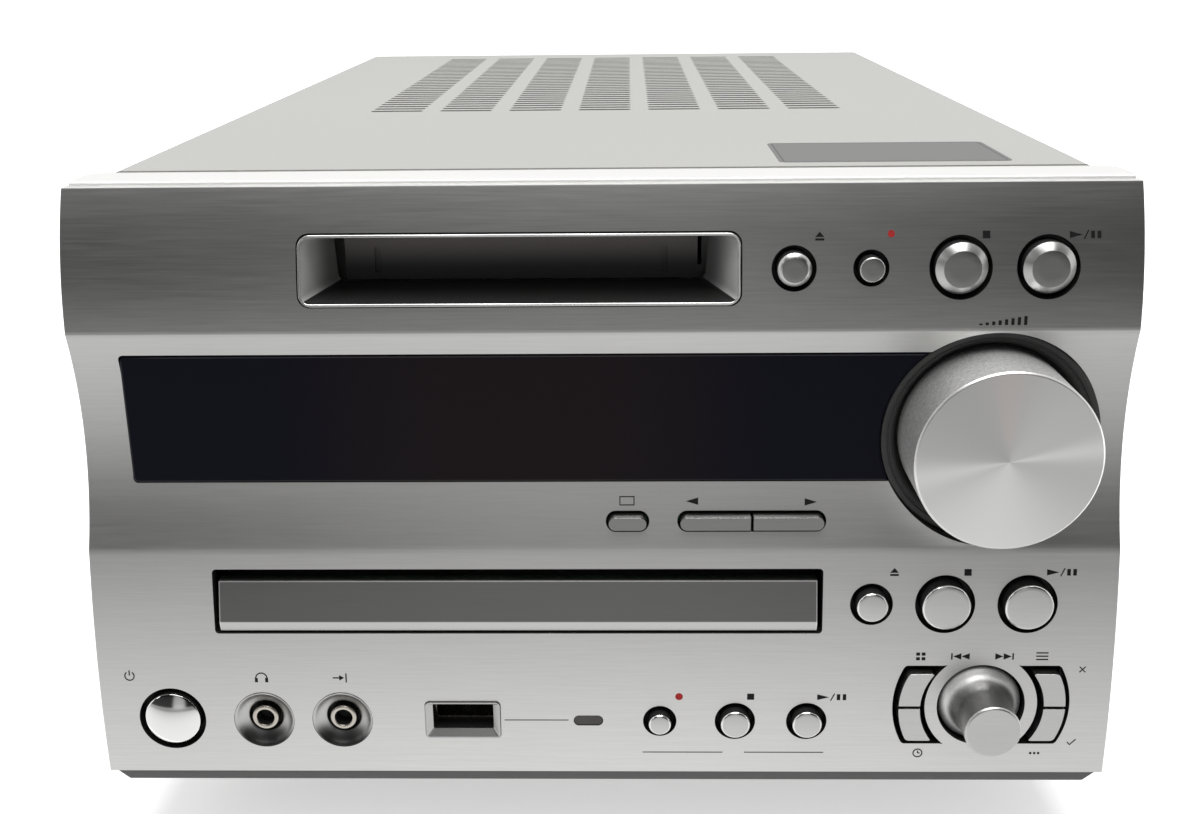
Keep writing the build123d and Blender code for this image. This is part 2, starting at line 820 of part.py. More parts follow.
# Round buttons: a cap in its hole, a square flange behind the fascia and a stem to its switch
switch_front = board_depth - switch_height
stem_end = switch_front - button_travel - button_clear
for name, (place, hole_r) in round_buttons.items():
    lip_r = hole_r + button_lip
    seat = seat_depth(place[1], lip_r)
    with BuildPart() as round_button:
        with BuildSketch(front(seat)):
            with Locations(place):
                Circle(hole_r - button_gap)
        extrude(amount=seat - skin(place[1]) + cap_proud)
        with BuildSketch(front(seat)):
            with Locations(place):
                Rectangle(2 * lip_r, 2 * lip_r)
        extrude(amount=-button_flange)
        with BuildSketch(front(seat + button_flange)):
            with Locations(place):
                Rectangle(stem, stem)
        extrude(amount=-(stem_end - seat - button_flange))
    round_button.part.label = name
    export_step(round_button.part, f"parts/{name}.step")


# Pill buttons: half or whole pills, on the same kind of flange and stem
for name, (low, high) in pill_buttons.items():
    whole_low = low if name != "input_right_button" else input_pill_x - input_pill_width / 2
    whole_high = high if name != "input_left_button" else input_pill_x + input_pill_width / 2
    seat = seat_depth(pill_z, pill_height / 2 + button_lip)
    tip = skin(pill_z) - pill_proud
    with BuildPart() as pill_button:
        with BuildSketch(front(seat)):
            with Locations(((whole_low + whole_high) / 2, pill_z)):
                SlotOverall(whole_high - whole_low - 2 * pill_gap, pill_height - 2 * pill_gap)
            span(low, high, pill_z - pill_height, pill_z + pill_height, Mode.INTERSECT)
        extrude(amount=seat - tip)
        with BuildSketch(front(seat)):
            flange_low = low - button_lip if low == whole_low else low
            flange_high = high + button_lip if high == whole_high else high
            flange_half = pill_height / 2 + button_lip
            span(flange_low, flange_high, pill_z - flange_half, pill_z + flange_half)
        extrude(amount=-button_flange)
        with BuildSketch(front(seat + button_flange)):
            with Locations(((low + high) / 2, pill_z)):
                Rectangle(stem, stem)
        extrude(amount=-(stem_end - seat - button_flange))
    pill_button.part.label = name
    export_step(pill_button.part, f"parts/{name}.step")


# Arc buttons: quarters of the ring round the selector
arc_seat = seat_depth(jog_at[1], arc_half_height + button_lip)
arc_tip = skin(jog_at[1]) - arc_proud
arc_middle_r = (arc_inner_r + arc_outer_r) / 2
arc_stem = (arc_middle_r * cos(arc_stem_angle), arc_middle_r * sin(arc_stem_angle))
for name, (hand, rise) in arc_buttons.items():
    with BuildPart() as arc_button:
        with BuildSketch(front(arc_seat)):
            arc_quarter(-arc_gap, hand, rise)
        extrude(amount=arc_seat - arc_tip)
        with BuildSketch(front(arc_seat)):
            arc_quarter(button_lip, hand, rise)
        extrude(amount=-button_flange)
        with BuildSketch(front(arc_seat + button_flange)):
            with Locations((jog_at[0] + hand * arc_stem[0], jog_at[1] + rise * arc_stem[1])):
                Rectangle(stem, stem)
        extrude(amount=-(stem_end - arc_seat - button_flange))
    arc_button.part.label = name
    export_step(arc_button.part, f"parts/{name}.step")


# Jack surrounds: plate behind the fascia that floors the two round openings
bowl_reach = bowl_r + bowl_margin
bowl_back = seat_depth(jack_z, bowl_reach) + bowl_floor
jack_front = skin(jack_z) + jack_below_skin
with BuildPart() as jack_bowls:
    with BuildSketch(front(bowl_back)):
        span(headphone_x - bowl_reach, line_in_x + bowl_reach, jack_z - bowl_reach, jack_z + bowl_reach)
        with Locations(*jack_places):
            Circle(bowl_hole_r, mode=Mode.SUBTRACT)
    extrude(amount=bowl_floor)
jack_bowls.part.label = "jack_bowls"
export_step(jack_bowls.part, "parts/jack_bowls.step")

# Front jacks: threaded ferrule on a block that is soldered to the front board
with BuildPart() as front_jacks:
    with BuildSketch(front(board_depth)):
        with Locations(*jack_places):
            Rectangle(jack_block, jack_block)
    extrude(amount=board_depth - bowl_back)
    with BuildSketch(front(bowl_back)):
        with Locations(*jack_places):
            Circle(jack_ferrule_r)
    extrude(amount=bowl_back - jack_front)
    with BuildSketch(front(jack_front)):
        with Locations(*jack_places):
            Circle(jack_bore_r)
    extrude(amount=-jack_bore_length, mode=Mode.SUBTRACT)
front_jacks.part.label = "front_jacks"
export_step(front_jacks.part, "parts/front_jacks.step")


# USB surround with its bevelled mouth, the socket behind it and the lamp beside it
usb_face = skin(usb_at[1]) - usb_proud
with BuildPart() as usb_bezel:
    with BuildSketch(front(usb_bezel_end)):
        with Locations(usb_at):
            Rectangle(usb_width, usb_height)
    extrude(amount=usb_bezel_end - usb_face)
    with BuildSketch(front(usb_bezel_end)):
        with Locations(usb_opening_at):
            Rectangle(usb_opening_width, usb_opening_height)
    extrude(amount=through, mode=Mode.SUBTRACT)
    lower_edges = usb_bezel.edges().filter_by(Axis.X).filter_by_position(
        Axis.Y, edge_y + usb_face - 0.01, edge_y + usb_face + 0.01
    )
    chamfer(lower_edges.sort_by(Axis.Z)[1], length=usb_bevel)
usb_bezel.part.label = "usb_bezel"
export_step(usb_bezel.part, "parts/usb_bezel.step")

with BuildPart() as usb_socket:
    with BuildSketch(front(board_depth)):
        with Locations(usb_opening_at):
            Rectangle(usb_opening_width + 2 * usb_shell, usb_opening_height + 2 * usb_shell)
            Rectangle(usb_opening_width, usb_opening_height, mode=Mode.SUBTRACT)
    extrude(amount=board_depth - usb_bezel_end)
    with BuildSketch(front(board_depth)):
        with Locations(usb_opening_at):
            Rectangle(usb_opening_width, usb_opening_height)
    extrude(amount=2 * usb_shell)
    tongue_top = usb_opening_at[1] + usb_opening_height / 2 - usb_shell
    with BuildSketch(front(board_depth)):
        span(
            usb_opening_at[0] - usb_opening_width / 2 + 2 * usb_shell,
            usb_opening_at[0] + usb_opening_width / 2 - 2 * usb_shell,
            tongue_top - usb_tongue, tongue_top,
        )
    extrude(amount=board_depth - usb_bezel_end - usb_shell)
usb_socket.part.label = "usb_socket"
export_step(usb_socket.part, "parts/usb_socket.step")

with BuildPart() as usb_lamp:
    with BuildSketch(front(board_depth)):
        with Locations(lamp_at):
            Rectangle(lamp_width / 2, lamp_height)
    extrude(amount=board_depth - skin(lamp_at[1]) - fascia_wall)
    with BuildSketch(front(skin(lamp_at[1]) + fascia_wall)):
        with Locations(lamp_at):
            SlotOverall(lamp_width, lamp_height)
    extrude(amount=fascia_wall - lamp_sunk)
usb_lamp.part.label = "usb_lamp"
export_step(usb_lamp.part, "parts/usb_lamp.step")


# Front board: printed board on the frame's ledges, with its switches, encoders and display tube
board_half = frame_inner - button_clear
board_low = frame_bottom + frame_wall + 2 * button_clear
with BuildPart() as front_board:
    with BuildSketch(front(board_depth + board_wall)):
        span(-board_half, board_half, board_low, -2 * frame_wall)
        span(
            md_bezel_at[0] - md_bezel_width / 2 - board_clear,
            md_bezel_at[0] + md_bezel_width / 2 + board_clear, bezel_low - board_clear, 0, Mode.SUBTRACT,
        )
        span(
            tray_opening_left - board_clear, tray_opening_right + board_clear,
            tray_opening_bottom - board_clear, tray_opening_top + board_clear, Mode.SUBTRACT,
        )
    extrude(amount=board_wall)
    with BuildSketch(front(board_depth)):
        for place, hole_r in round_buttons.values():
            with Locations(place):
                Rectangle(switch_size, switch_size)
        for low, high in pill_buttons.values():
            with Locations(((low + high) / 2, pill_z)):
                Rectangle(switch_size, switch_size)
        for hand, rise in arc_buttons.values():
            with Locations((jog_at[0] + hand * arc_stem[0], jog_at[1] + rise * arc_stem[1])):
                Rectangle(switch_size, switch_size)
    extrude(amount=switch_height)
    with BuildSketch(front(board_depth)):
        span(
            window_left + 4 * frame_web, volume_at[0] - ring_r - frame_web, window_bottom + 2 * frame_web,
            window_top - 2 * frame_web,
        )
    extrude(amount=board_depth - window_face - window_thick - 2 * frame_web)
    for place, shaft_r, bush_front in (
        (volume_at, volume_shaft_r, ring_floor_depth),
        (jog_at, jog_shaft_r, jog_back_depth + jog_travel + 2 * bush_wall),
    ):
        with BuildSketch(front(board_depth)):
            with Locations(place):
                Rectangle(encoder_size, encoder_size)
        extrude(amount=2 * switch_height)
        with BuildSketch(front(board_depth - switch_height)):
            with Locations(place):
                Rectangle(2 * (shaft_r + bush_wall), 2 * (shaft_r + bush_wall))
        extrude(amount=board_depth - switch_height - bush_front)
        with BuildSketch(front(board_depth)):
            with Locations(place):
                Circle(shaft_r + shaft_fit)
        extrude(amount=through, mode=Mode.SUBTRACT)
front_board.part.label = "front_board"
export_step(front_board.part, "parts/front_board.step")


# Tray front: bevelled bar that closes the disc opening
tray_front_bottom = tray_opening_bottom + tray_front_clear
with BuildPart() as tray_front:
    with BuildSketch(side(cd_x - tray_front_width / 2)):
        with BuildLine():
            Polyline(
                (tray_front_face, tray_front_top),
                (tray_front_face, tray_front_bottom + tray_front_bevel),
                (tray_front_face + tray_front_bevel / 2, tray_front_bottom),
                (tray_front_face + tray_front_thick, tray_front_bottom),
                (tray_front_face + tray_front_thick, tray_front_top), close=True,
            )
        make_face()
    extrude(amount=tray_front_width)
tray_front.part.label = "tray_front"
export_step(tray_front.part, "parts/tray_front.step")

# Disc tray: stepped recesses for two sizes of disc, a slot for the turntable, and a rack underneath
tray_start = tray_front_face + tray_front_thick
rack_pitch = pi * gear_module
rack_teeth = int(tray_travel / rack_pitch) + 2
tooth_half = (rack_pitch / 2 - backlash) / 2
with BuildPart() as disc_tray:
    with BuildSketch(level(tray_underside)):
        span(tray_left, tray_right, tray_start, tray_end)
    extrude(amount=tray_rim_top - tray_underside)
    with BuildSketch(level(tray_rim_top)):
        with Locations((cd_x, disc_y)):
            Circle(disc_recess_r)
    extrude(amount=tray_floor - tray_rim_top, mode=Mode.SUBTRACT)
    with BuildSketch(level(tray_floor)):
        with Locations((cd_x, disc_y)):
            Circle(small_recess_r)
    extrude(amount=-small_recess_step, mode=Mode.SUBTRACT)
    with BuildSketch(level(tray_rim_top)):
        with Locations((cd_x, disc_y)):
            Circle(tray_slot_width / 2)
        span(cd_x - tray_slot_width / 2, cd_x + tray_slot_width / 2, disc_y, 2 * tray_end)
    extrude(amount=tray_underside - tray_rim_top, mode=Mode.SUBTRACT)
    with BuildSketch(level(tray_underside)):
        root_x = rack_pitch_x - 1.25 * gear_module
        span(root_x - rack_back, root_x, gear_y - rack_pitch, gear_y + rack_pitch * (rack_teeth + 0.5))
        slope = tan(pressure_angle)
        for tooth in range(-1, rack_teeth):
            middle = gear_y + (tooth + 0.5) * rack_pitch
            with BuildLine():
                Polyline(
                    (root_x - rack_sink, middle - tooth_half - slope * 1.25 * gear_module),
                    (root_x, middle - tooth_half - slope * 1.25 * gear_module),
                    (rack_pitch_x + gear_module, middle - tooth_half + slope * gear_module),
                    (rack_pitch_x + gear_module, middle + tooth_half - slope * gear_module),
                    (root_x, middle + tooth_half + slope * 1.25 * gear_module),
                    (root_x - rack_sink, middle + tooth_half + slope * 1.25 * gear_module), close=True,
                )
            make_face()
    extrude(amount=rack_bottom - tray_underside)
disc_tray.part.label = "disc_tray"
export_step(disc_tray.part, "parts/disc_tray.step")


# Loading gear: involute teeth in mesh with the tray's rack, free on a post of the loader
def flank_angle(radius):
    """Half the angle that a tooth fills at a radius, from the involute."""
    base = acos(min(1.0, gear_base_r / radius))
    return tooth_half / gear_pitch_r + tan(pressure_angle) - pressure_angle - tan(base) + base


gear_base_r = gear_pitch_r * cos(pressure_angle)
gear_root_r = gear_pitch_r - 1.25 * gear_module
gear_tip_r = gear_pitch_r + gear_module
with BuildPart() as loading_gear:
    with BuildSketch(level(gear_top)):
        with BuildLine():
            outline = []
            for tooth in range(gear_teeth):
                middle = pi + 2 * pi * tooth / gear_teeth
                flank = [(gear_root_r, flank_angle(gear_base_r))] + [
                    (radius, flank_angle(radius)) for radius in (gear_base_r, gear_tip_r)
                ]
                points = [(r, middle - half) for r, half in flank]
                points += [(r, middle + half) for r, half in reversed(flank)]
                outline += [(gear_x + r * cos(angle), gear_y + r * sin(angle)) for r, angle in points]
            Polyline(*outline, close=True)
        make_face()
        with Locations((gear_x, gear_y)):
            Circle(gear_pin_r + gear_fit, mode=Mode.SUBTRACT)
    extrude(amount=-gear_height)
loading_gear.part.label = "loading_gear"
export_step(loading_gear.part, "parts/loading_gear.step")


# Loader frame: moulded trough with rails, legs, guide posts and the gear's post
post_places = [
    (cd_x + hand * (traverse_half_width - guide_inset), depth)
    for hand in (-1, 1)
    for depth in (traverse_start + guide_inset, traverse_end - guide_inset)
]
with BuildPart() as loader_frame:
    with BuildSketch(level(loader_floor_top - loader_floor)):
        span(loader_left, loader_right, loader_start, loader_end)
    extrude(amount=loader_top - loader_floor_top + loader_floor)
    with BuildSketch(level(loader_floor_top)):
        span(loader_left + loader_wall, loader_right - loader_wall, 0, 2 * loader_end)
    extrude(amount=through, mode=Mode.SUBTRACT)
    with BuildSketch(level(ledge_top)):
        for rail_x in (loader_left, loader_right - loader_wall - rack_inset / 2):
            span(rail_x, rail_x + loader_wall + rack_inset / 2, loader_start, loader_end)
    extrude(amount=-2 * loader_wall)
    with BuildSketch(level(loader_floor_top)):
        with Locations(*post_places):
            Rectangle(guide_post, guide_post)
    extrude(amount=traverse_lift + 2 * traverse_wall)
    with BuildSketch(level(loader_floor_top)):
        with Locations((gear_x, gear_y)):
            Rectangle(4 * gear_pin_r, 4 * gear_pin_r)
    extrude(amount=rack_bottom - button_clear - loader_floor_top)
    with BuildSketch(level(loader_floor_top)):
        with Locations((gear_x, gear_y)):
            Circle(gear_pin_r)
    extrude(amount=gear_top - loader_floor_top)
    with BuildSketch(level(chassis_floor)):
        for leg_x in (loader_left, loader_right - loader_leg):
            for leg_y in (loader_start + loader_leg, loader_end - loader_leg):
                span(leg_x, leg_x + loader_leg, leg_y, leg_y + loader_leg)
    extrude(amount=loader_floor_top - loader_floor - chassis_floor)
loader_frame.part.label = "loader_frame"
export_step(loader_frame.part, "parts/loader_frame.step")


# Traverse: plate that rises on the loader's posts, with the spindle motor and the pickup's rods
traverse_low = loader_floor_top + traverse_clear
traverse_top = traverse_low + traverse_wall
motor_top = traverse_top + motor_height
rod_z = traverse_top + rod_height
rod_start = disc_y + motor_r
rod_end = sled_y + sled_length / 2 + sled_travel + rod_end_gap
with BuildPart() as traverse:
    with BuildSketch(level(traverse_low)):
        span(cd_x - traverse_half_width, cd_x + traverse_half_width, traverse_start, traverse_end)
        with Locations(*post_places):
            Rectangle(guide_post + 2 * guide_fit, guide_post + 2 * guide_fit, mode=Mode.SUBTRACT)
        span(
            cd_x - rod_spread / 2, cd_x + rod_spread / 2,
            rod_start + rod_slot_end, rod_end - rod_slot_end, Mode.SUBTRACT,
        )
    extrude(amount=traverse_wall)
    with BuildSketch(level(traverse_top)):
        with Locations((cd_x, disc_y)):
            Circle(motor_r)
    extrude(amount=motor_height)
    with BuildSketch(level(traverse_top)):
        for hand in (-1, 1):
            for block_y in (rod_start, rod_end):
                with Locations((cd_x + hand * rod_spread, block_y)):
                    Rectangle(rod_block_width, rod_block)
    extrude(amount=rod_z + 2 * rod_r - traverse_top)
    with BuildSketch(front(rod_end)):
        for hand in (-1, 1):
            with Locations((cd_x + hand * rod_spread, rod_z)):
                Circle(rod_r)
    extrude(amount=rod_end - rod_start)
    with BuildSketch(level(motor_top)):
        with Locations((cd_x, disc_y)):
            Circle(spindle_r + gear_fit)
    extrude(amount=-motor_height / 2, mode=Mode.SUBTRACT)
traverse.part.label = "traverse"
export_step(traverse.part, "parts/traverse.step")

# Turntable: platter with a centring hub, on the motor's spindle
platter_low = motor_top + platter_gap
platter_top = platter_low + platter_wall
turn = upright(cd_x, disc_y)
with BuildPart() as turntable:
    with BuildSketch(turn):
        with BuildLine():
            Polyline(
                (0, platter_low - motor_height / 2), (spindle_r, platter_low - motor_height / 2),
                (spindle_r, platter_low), (platter_r, platter_low), (platter_r, platter_top),
                (hub_r, platter_top), (hub_r, platter_top + hub_rise), (0, platter_top + hub_rise),
                close=True,
            )
        make_face()
    revolve(axis=Axis(turn.origin, turn.y_dir))
turntable.part.label = "turntable"
export_step(turntable.part, "parts/turntable.step")

# Pickup sled: block bored for the rods, with the lens on top
sled_low = rod_z - sled_height / 2
with BuildPart() as pickup_sled:
    with BuildSketch(level(sled_low)):
        with Locations((cd_x, sled_y)):
            Rectangle(sled_width, sled_length)
    extrude(amount=sled_height)
    with BuildSketch(level(sled_low)):
        with Locations((cd_x, sled_y)):
            Rectangle(sled_width / 3, sled_length / 2)
    extrude(amount=platter_top - lens_below_disc - lens_rise - sled_low)
    with BuildSketch(level(sled_low)):
        with Locations((cd_x, sled_y)):
            Circle(lens_r)
    extrude(amount=platter_top - lens_below_disc - sled_low)
    with BuildSketch(front(sled_y + sled_length)):
        with Locations((cd_x - rod_spread, rod_z)):
            Circle(rod_r + gear_fit)
        span(
            cd_x + rod_spread - rod_r - button_clear, cd_x + sled_width,
            rod_z - rod_r - button_clear, rod_z + rod_r + button_clear,
        )
    extrude(amount=2 * sled_length, mode=Mode.SUBTRACT)
pickup_sled.part.label = "pickup_sled"
export_step(pickup_sled.part, "parts/pickup_sled.step")

# Clamp bridge across the loader, with the puck that hangs in it
with BuildPart() as clamp_bridge:
    with BuildSketch(level(loader_top)):
        span(loader_left, loader_right, disc_y - bridge_width, disc_y + bridge_width)
        with Locations((cd_x, disc_y)):
            Circle(puck_r + 2 * button_clear, mode=Mode.SUBTRACT)
    extrude(amount=bridge_wall)
clamp_bridge.part.label = "clamp_bridge"
export_step(clamp_bridge.part, "parts/clamp_bridge.step")

with BuildPart() as clamp_puck:
    puck_seat = loader_top + bridge_wall + button_clear
    with BuildSketch(level(puck_low)):
        with Locations((cd_x, disc_y)):
            Circle(puck_r)
    extrude(amount=puck_seat - puck_low)
    with BuildSketch(level(puck_seat)):
        with Locations((cd_x, disc_y)):
            Circle(puck_r + puck_rim)
    extrude(amount=puck_rise)
clamp_puck.part.label = "clamp_puck"
export_step(clamp_puck.part, "parts/clamp_puck.step")


# Bottom chassis: folded steel tray with stand-offs for the main board
board_posts = [
    (across, depth)
    for across in (main_board_left + board_post, main_board_right - board_post)
    for depth in (main_board_start + board_post, panel_depth - board_post_end)
]
with BuildPart() as bottom_chassis:
    with BuildSketch(level(-body_drop)):
        span(-chassis_half, chassis_half, frame_depth, panel_depth)
    extrude(amount=flange_height)
    with BuildSketch(level(chassis_floor)):
        span(-chassis_half + sheet, chassis_half - sheet, frame_depth + sheet, 2 * panel_depth)
    extrude(amount=flange_height, mode=Mode.SUBTRACT)
    with BuildSketch(level(chassis_floor)):
        with Locations(*board_posts):
            Rectangle(board_post, board_post)
    extrude(amount=main_board_stand)
bottom_chassis.part.label = "bottom_chassis"
export_step(bottom_chassis.part, "parts/bottom_chassis.step")


# Top cover: folded steel sheet with rounded shoulders and seven ladders of vent slots
cover_low = -body_drop - sheet_gap
vent_step = (vent_length + vent_bar) / vent_slots
with BuildPart() as top_cover:
    with BuildSketch(front(case_depth)) as hoop:
        span(-cover_width / 2, cover_width / 2, cover_low, cover_rise)
        fillet(hoop.vertices().group_by(Axis.Y)[-1], radius=cover_edge_r)
    extrude(amount=case_depth - cover_front)
    with BuildSketch(front(case_depth)) as inside:
        span(
            cover_wall - cover_width / 2, cover_width / 2 - cover_wall, cover_low, cover_rise - cover_wall
        )
        fillet(inside.vertices().group_by(Axis.Y)[-1], radius=cover_edge_r - cover_wall)
    extrude(amount=case_depth - cover_front, mode=Mode.SUBTRACT)
    with BuildSketch(level(-2 * cover_wall)):
        with Locations((vent_x, case_depth - vent_rear_gap - vent_length / 2)):
            with GridLocations(vent_pitch, vent_step, vent_columns, vent_slots):
                Rectangle(vent_width, vent_step - vent_bar)
    extrude(amount=through, mode=Mode.SUBTRACT)
top_cover.part.label = "top_cover"
export_step(top_cover.part, "parts/top_cover.step")


# Rear panel with the openings that its sockets pass through
phono_places = [(phono_at[0], phono_at[1] + rise * phono_pitch / 2) for rise in (-1, 1)]
post_xs = [speaker_at[0] + place * speaker_pitch for place in (-1.5, -0.5, 0.5, 1.5)]
with BuildPart() as rear_panel:
    with BuildSketch(front(panel_depth + sheet)) as panel:
        span(-chassis_half, chassis_half, -body_drop, -sheet_gap)
        fillet(panel.vertices().group_by(Axis.Y)[-1], radius=cover_edge_r - cover_wall)
        with Locations(phono_at):
            Rectangle(phono_block + 2 * sheet_gap, 2 * (phono_pitch + sheet_gap), mode=Mode.SUBTRACT)
        with Locations(aerial_at):
            Rectangle(3 * aerial_r + 2 * sheet_gap, 3 * aerial_r + 2 * sheet_gap, mode=Mode.SUBTRACT)
        with Locations(inlet_at):
            Rectangle(inlet_width + 2 * sheet_gap, inlet_height + 2 * sheet_gap, mode=Mode.SUBTRACT)
    extrude(amount=sheet)
rear_panel.part.label = "rear_panel"
export_step(rear_panel.part, "parts/rear_panel.step")


# Feet
with BuildPart() as feet:
    with BuildSketch(level(-body_drop)):
        for depth in (foot_front_y, foot_rear_y):
            with Locations((-foot_x, depth), (foot_x, depth)):
                Circle(foot_r)
    extrude(amount=-foot_height)
feet.part.label = "feet"
export_step(feet.part, "parts/feet.step")


# Transformer: laminated core with the coil round its middle
with BuildPart() as transformer:
    with BuildSketch(level(chassis_floor)):
        with Locations(transformer_at):
            Rectangle(core_width, core_depth)
    extrude(amount=core_height)
    with BuildSketch(level(chassis_floor + (core_height - coil_height) / 2)):
        with Locations(transformer_at):
            RectangleRounded(coil_width, coil_depth, coil_corner_r)
    extrude(amount=coil_height)
transformer.part.label = "transformer"
export_step(transformer.part, "parts/transformer.step")

# Main board on the chassis stand-offs, with its reservoir capacitor
main_board_z = chassis_floor + main_board_stand
main_board_end = panel_depth - board_end_gap
with BuildPart() as main_board:
    with BuildSketch(level(main_board_z)):
        span(main_board_left, main_board_right, main_board_start, main_board_end)
    extrude(amount=board_wall)
    with BuildSketch(level(main_board_z + board_wall)):
        with Locations((main_board_left + capacitor_in, main_board_start + capacitor_in)):
            Circle(capacitor_r)
    extrude(amount=capacitor_height)
main_board.part.label = "main_board"
export_step(main_board.part, "parts/main_board.step")

# Heat sink: extruded comb that stands on the chassis under the vents
with BuildPart() as heat_sink:
    with BuildSketch(level(chassis_floor)):
        span(-sink_width / 2, sink_width / 2, sink_start, sink_start + sink_base)
        fin_pitch = (sink_width - sink_fin) / (sink_fins - 1)
        with Locations((0, sink_start + sink_depth / 2)):
            with GridLocations(fin_pitch, 1, sink_fins, 1):
                Rectangle(sink_fin, sink_depth)
    extrude(amount=sink_height)
heat_sink.part.label = "heat_sink"
export_step(heat_sink.part, "parts/heat_sink.step")


# Speaker terminals: moulded plate with four posts, and a screw cap on each post
plate_back = panel_depth + sheet + speaker_plate
with BuildPart() as speaker_terminals:
    with BuildSketch(front(plate_back)):
        with Locations(speaker_at):
            Rectangle(4.2 * speaker_pitch, 1.5 * speaker_pitch)
    extrude(amount=speaker_plate)
    with BuildSketch(front(plate_back)):
        with Locations(*[(across, speaker_at[1]) for across in post_xs]):
            RegularPolygon(speaker_post_r, 6)
    extrude(amount=-(rear_reach - plate_back - speaker_cap_end - button_clear))
speaker_terminals.part.label = "speaker_terminals"
export_step(speaker_terminals.part, "parts/speaker_terminals.step")

for number, across in enumerate(post_xs, start=1):
    with BuildPart() as speaker_cap:
        with BuildSketch(front(rear_reach)):
            with Locations((across, speaker_at[1])):
                RegularPolygon(speaker_cap_r, speaker_cap_sides)
        extrude(amount=speaker_cap_length)
        with BuildSketch(front(rear_reach - speaker_cap_length)):
            with Locations((across, speaker_at[1])):
                RegularPolygon(speaker_post_r + shaft_fit, speaker_cap_sides, major_radius=False)
        extrude(amount=speaker_cap_end - speaker_cap_length, mode=Mode.SUBTRACT)
    speaker_cap.part.label = f"speaker_cap_{number}"
    export_step(speaker_cap.part, f"parts/speaker_cap_{number}.step")


# Phono jacks: block behind the panel's opening, with two barrels
with BuildPart() as phono_jacks:
    with BuildSketch(front(panel_depth + 2 * sheet)):
        with Locations(phono_at):
            Rectangle(phono_block, 2 * phono_pitch)
    extrude(amount=phono_reach + 2 * sheet)
    with BuildSketch(front(panel_depth + 2 * sheet)):
        with Locations(*phono_places):
            Circle(phono_r)
    extrude(amount=sheet - phono_reach)
    with BuildSketch(front(panel_depth + sheet + phono_reach)):
        with Locations(*phono_places):
            Circle(phono_bore_r)
    extrude(amount=phono_reach, mode=Mode.SUBTRACT)
phono_jacks.part.label = "phono_jacks"
export_step(phono_jacks.part, "parts/phono_jacks.step")

# Aerial terminals: round socket and a block with two clips
with BuildPart() as aerial_terminals:
    with BuildSketch(front(panel_depth + 2 * sheet)):
        with Locations(aerial_at):
            Rectangle(3 * aerial_r, 3 * aerial_r)
    extrude(amount=phono_reach + 2 * sheet)
    with BuildSketch(front(panel_depth + 2 * sheet)):
        with Locations(aerial_at):
            Circle(aerial_r)
    extrude(amount=sheet - phono_reach)
    with BuildSketch(front(panel_depth + sheet + phono_reach)):
        with Locations(aerial_at):
            Circle(phono_bore_r)
    extrude(amount=phono_reach, mode=Mode.SUBTRACT)
aerial_terminals.part.label = "aerial_terminals"
export_step(aerial_terminals.part, "parts/aerial_terminals.step")

# Mains inlet: moulded shell with a lip outside the panel and two pins in its well
with BuildPart() as mains_inlet:
    with BuildSketch(front(panel_depth + sheet)):
        with Locations(inlet_at):
            Rectangle(inlet_width, inlet_height)
    extrude(amount=inlet_depth)
    with BuildSketch(front(panel_depth + sheet)):
        with Locations(inlet_at):
            RectangleRounded(inlet_width + 4 * inlet_lip, inlet_height + 2 * inlet_lip, inlet_lip)
    extrude(amount=-inlet_lip)
    with BuildSketch(front(panel_depth + sheet + inlet_lip)):
        with Locations(inlet_at):
            SlotOverall(inlet_width - 3 * inlet_lip, inlet_height - 4 * inlet_lip)
    extrude(amount=inlet_well, mode=Mode.SUBTRACT)
    with BuildSketch(front(panel_depth + sheet + inlet_lip - inlet_well)):
        with Locations(inlet_at):
            with GridLocations(inlet_pin_pitch, 1, 2, 1):
                Rectangle(inlet_pin, inlet_pin)
    extrude(amount=-(inlet_well - 2 * inlet_lip))
mains_inlet.part.label = "mains_inlet"
export_step(mains_inlet.part, "parts/mains_inlet.step")
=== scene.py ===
"""Looks of the disc and cartridge receiver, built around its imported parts. Metres, y to the rear, z up."""

from math import asin, atan2, cos, degrees, hypot, pi, radians, sin, sqrt

import bmesh
import bpy
from mathutils import Matrix, Vector


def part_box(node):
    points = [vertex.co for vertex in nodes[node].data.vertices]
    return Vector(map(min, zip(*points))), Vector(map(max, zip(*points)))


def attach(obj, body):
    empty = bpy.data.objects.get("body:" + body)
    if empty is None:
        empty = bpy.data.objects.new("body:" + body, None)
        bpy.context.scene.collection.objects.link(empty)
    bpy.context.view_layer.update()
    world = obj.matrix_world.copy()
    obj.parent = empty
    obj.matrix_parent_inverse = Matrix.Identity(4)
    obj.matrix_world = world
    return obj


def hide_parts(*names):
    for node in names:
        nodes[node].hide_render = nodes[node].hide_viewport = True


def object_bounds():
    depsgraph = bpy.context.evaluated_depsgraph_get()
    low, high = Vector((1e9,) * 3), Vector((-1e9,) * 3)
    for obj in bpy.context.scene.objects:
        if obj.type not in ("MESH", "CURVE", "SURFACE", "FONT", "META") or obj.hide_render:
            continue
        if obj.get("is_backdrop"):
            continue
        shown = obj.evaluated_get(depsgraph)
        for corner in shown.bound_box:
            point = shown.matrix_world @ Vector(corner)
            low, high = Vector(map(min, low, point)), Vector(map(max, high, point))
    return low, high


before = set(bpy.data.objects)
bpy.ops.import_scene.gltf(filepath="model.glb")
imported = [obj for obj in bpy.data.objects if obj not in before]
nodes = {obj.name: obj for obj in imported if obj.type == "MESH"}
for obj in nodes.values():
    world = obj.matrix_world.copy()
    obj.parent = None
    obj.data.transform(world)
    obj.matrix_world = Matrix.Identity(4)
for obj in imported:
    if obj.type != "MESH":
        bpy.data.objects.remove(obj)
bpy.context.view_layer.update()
scene = bpy.context.scene


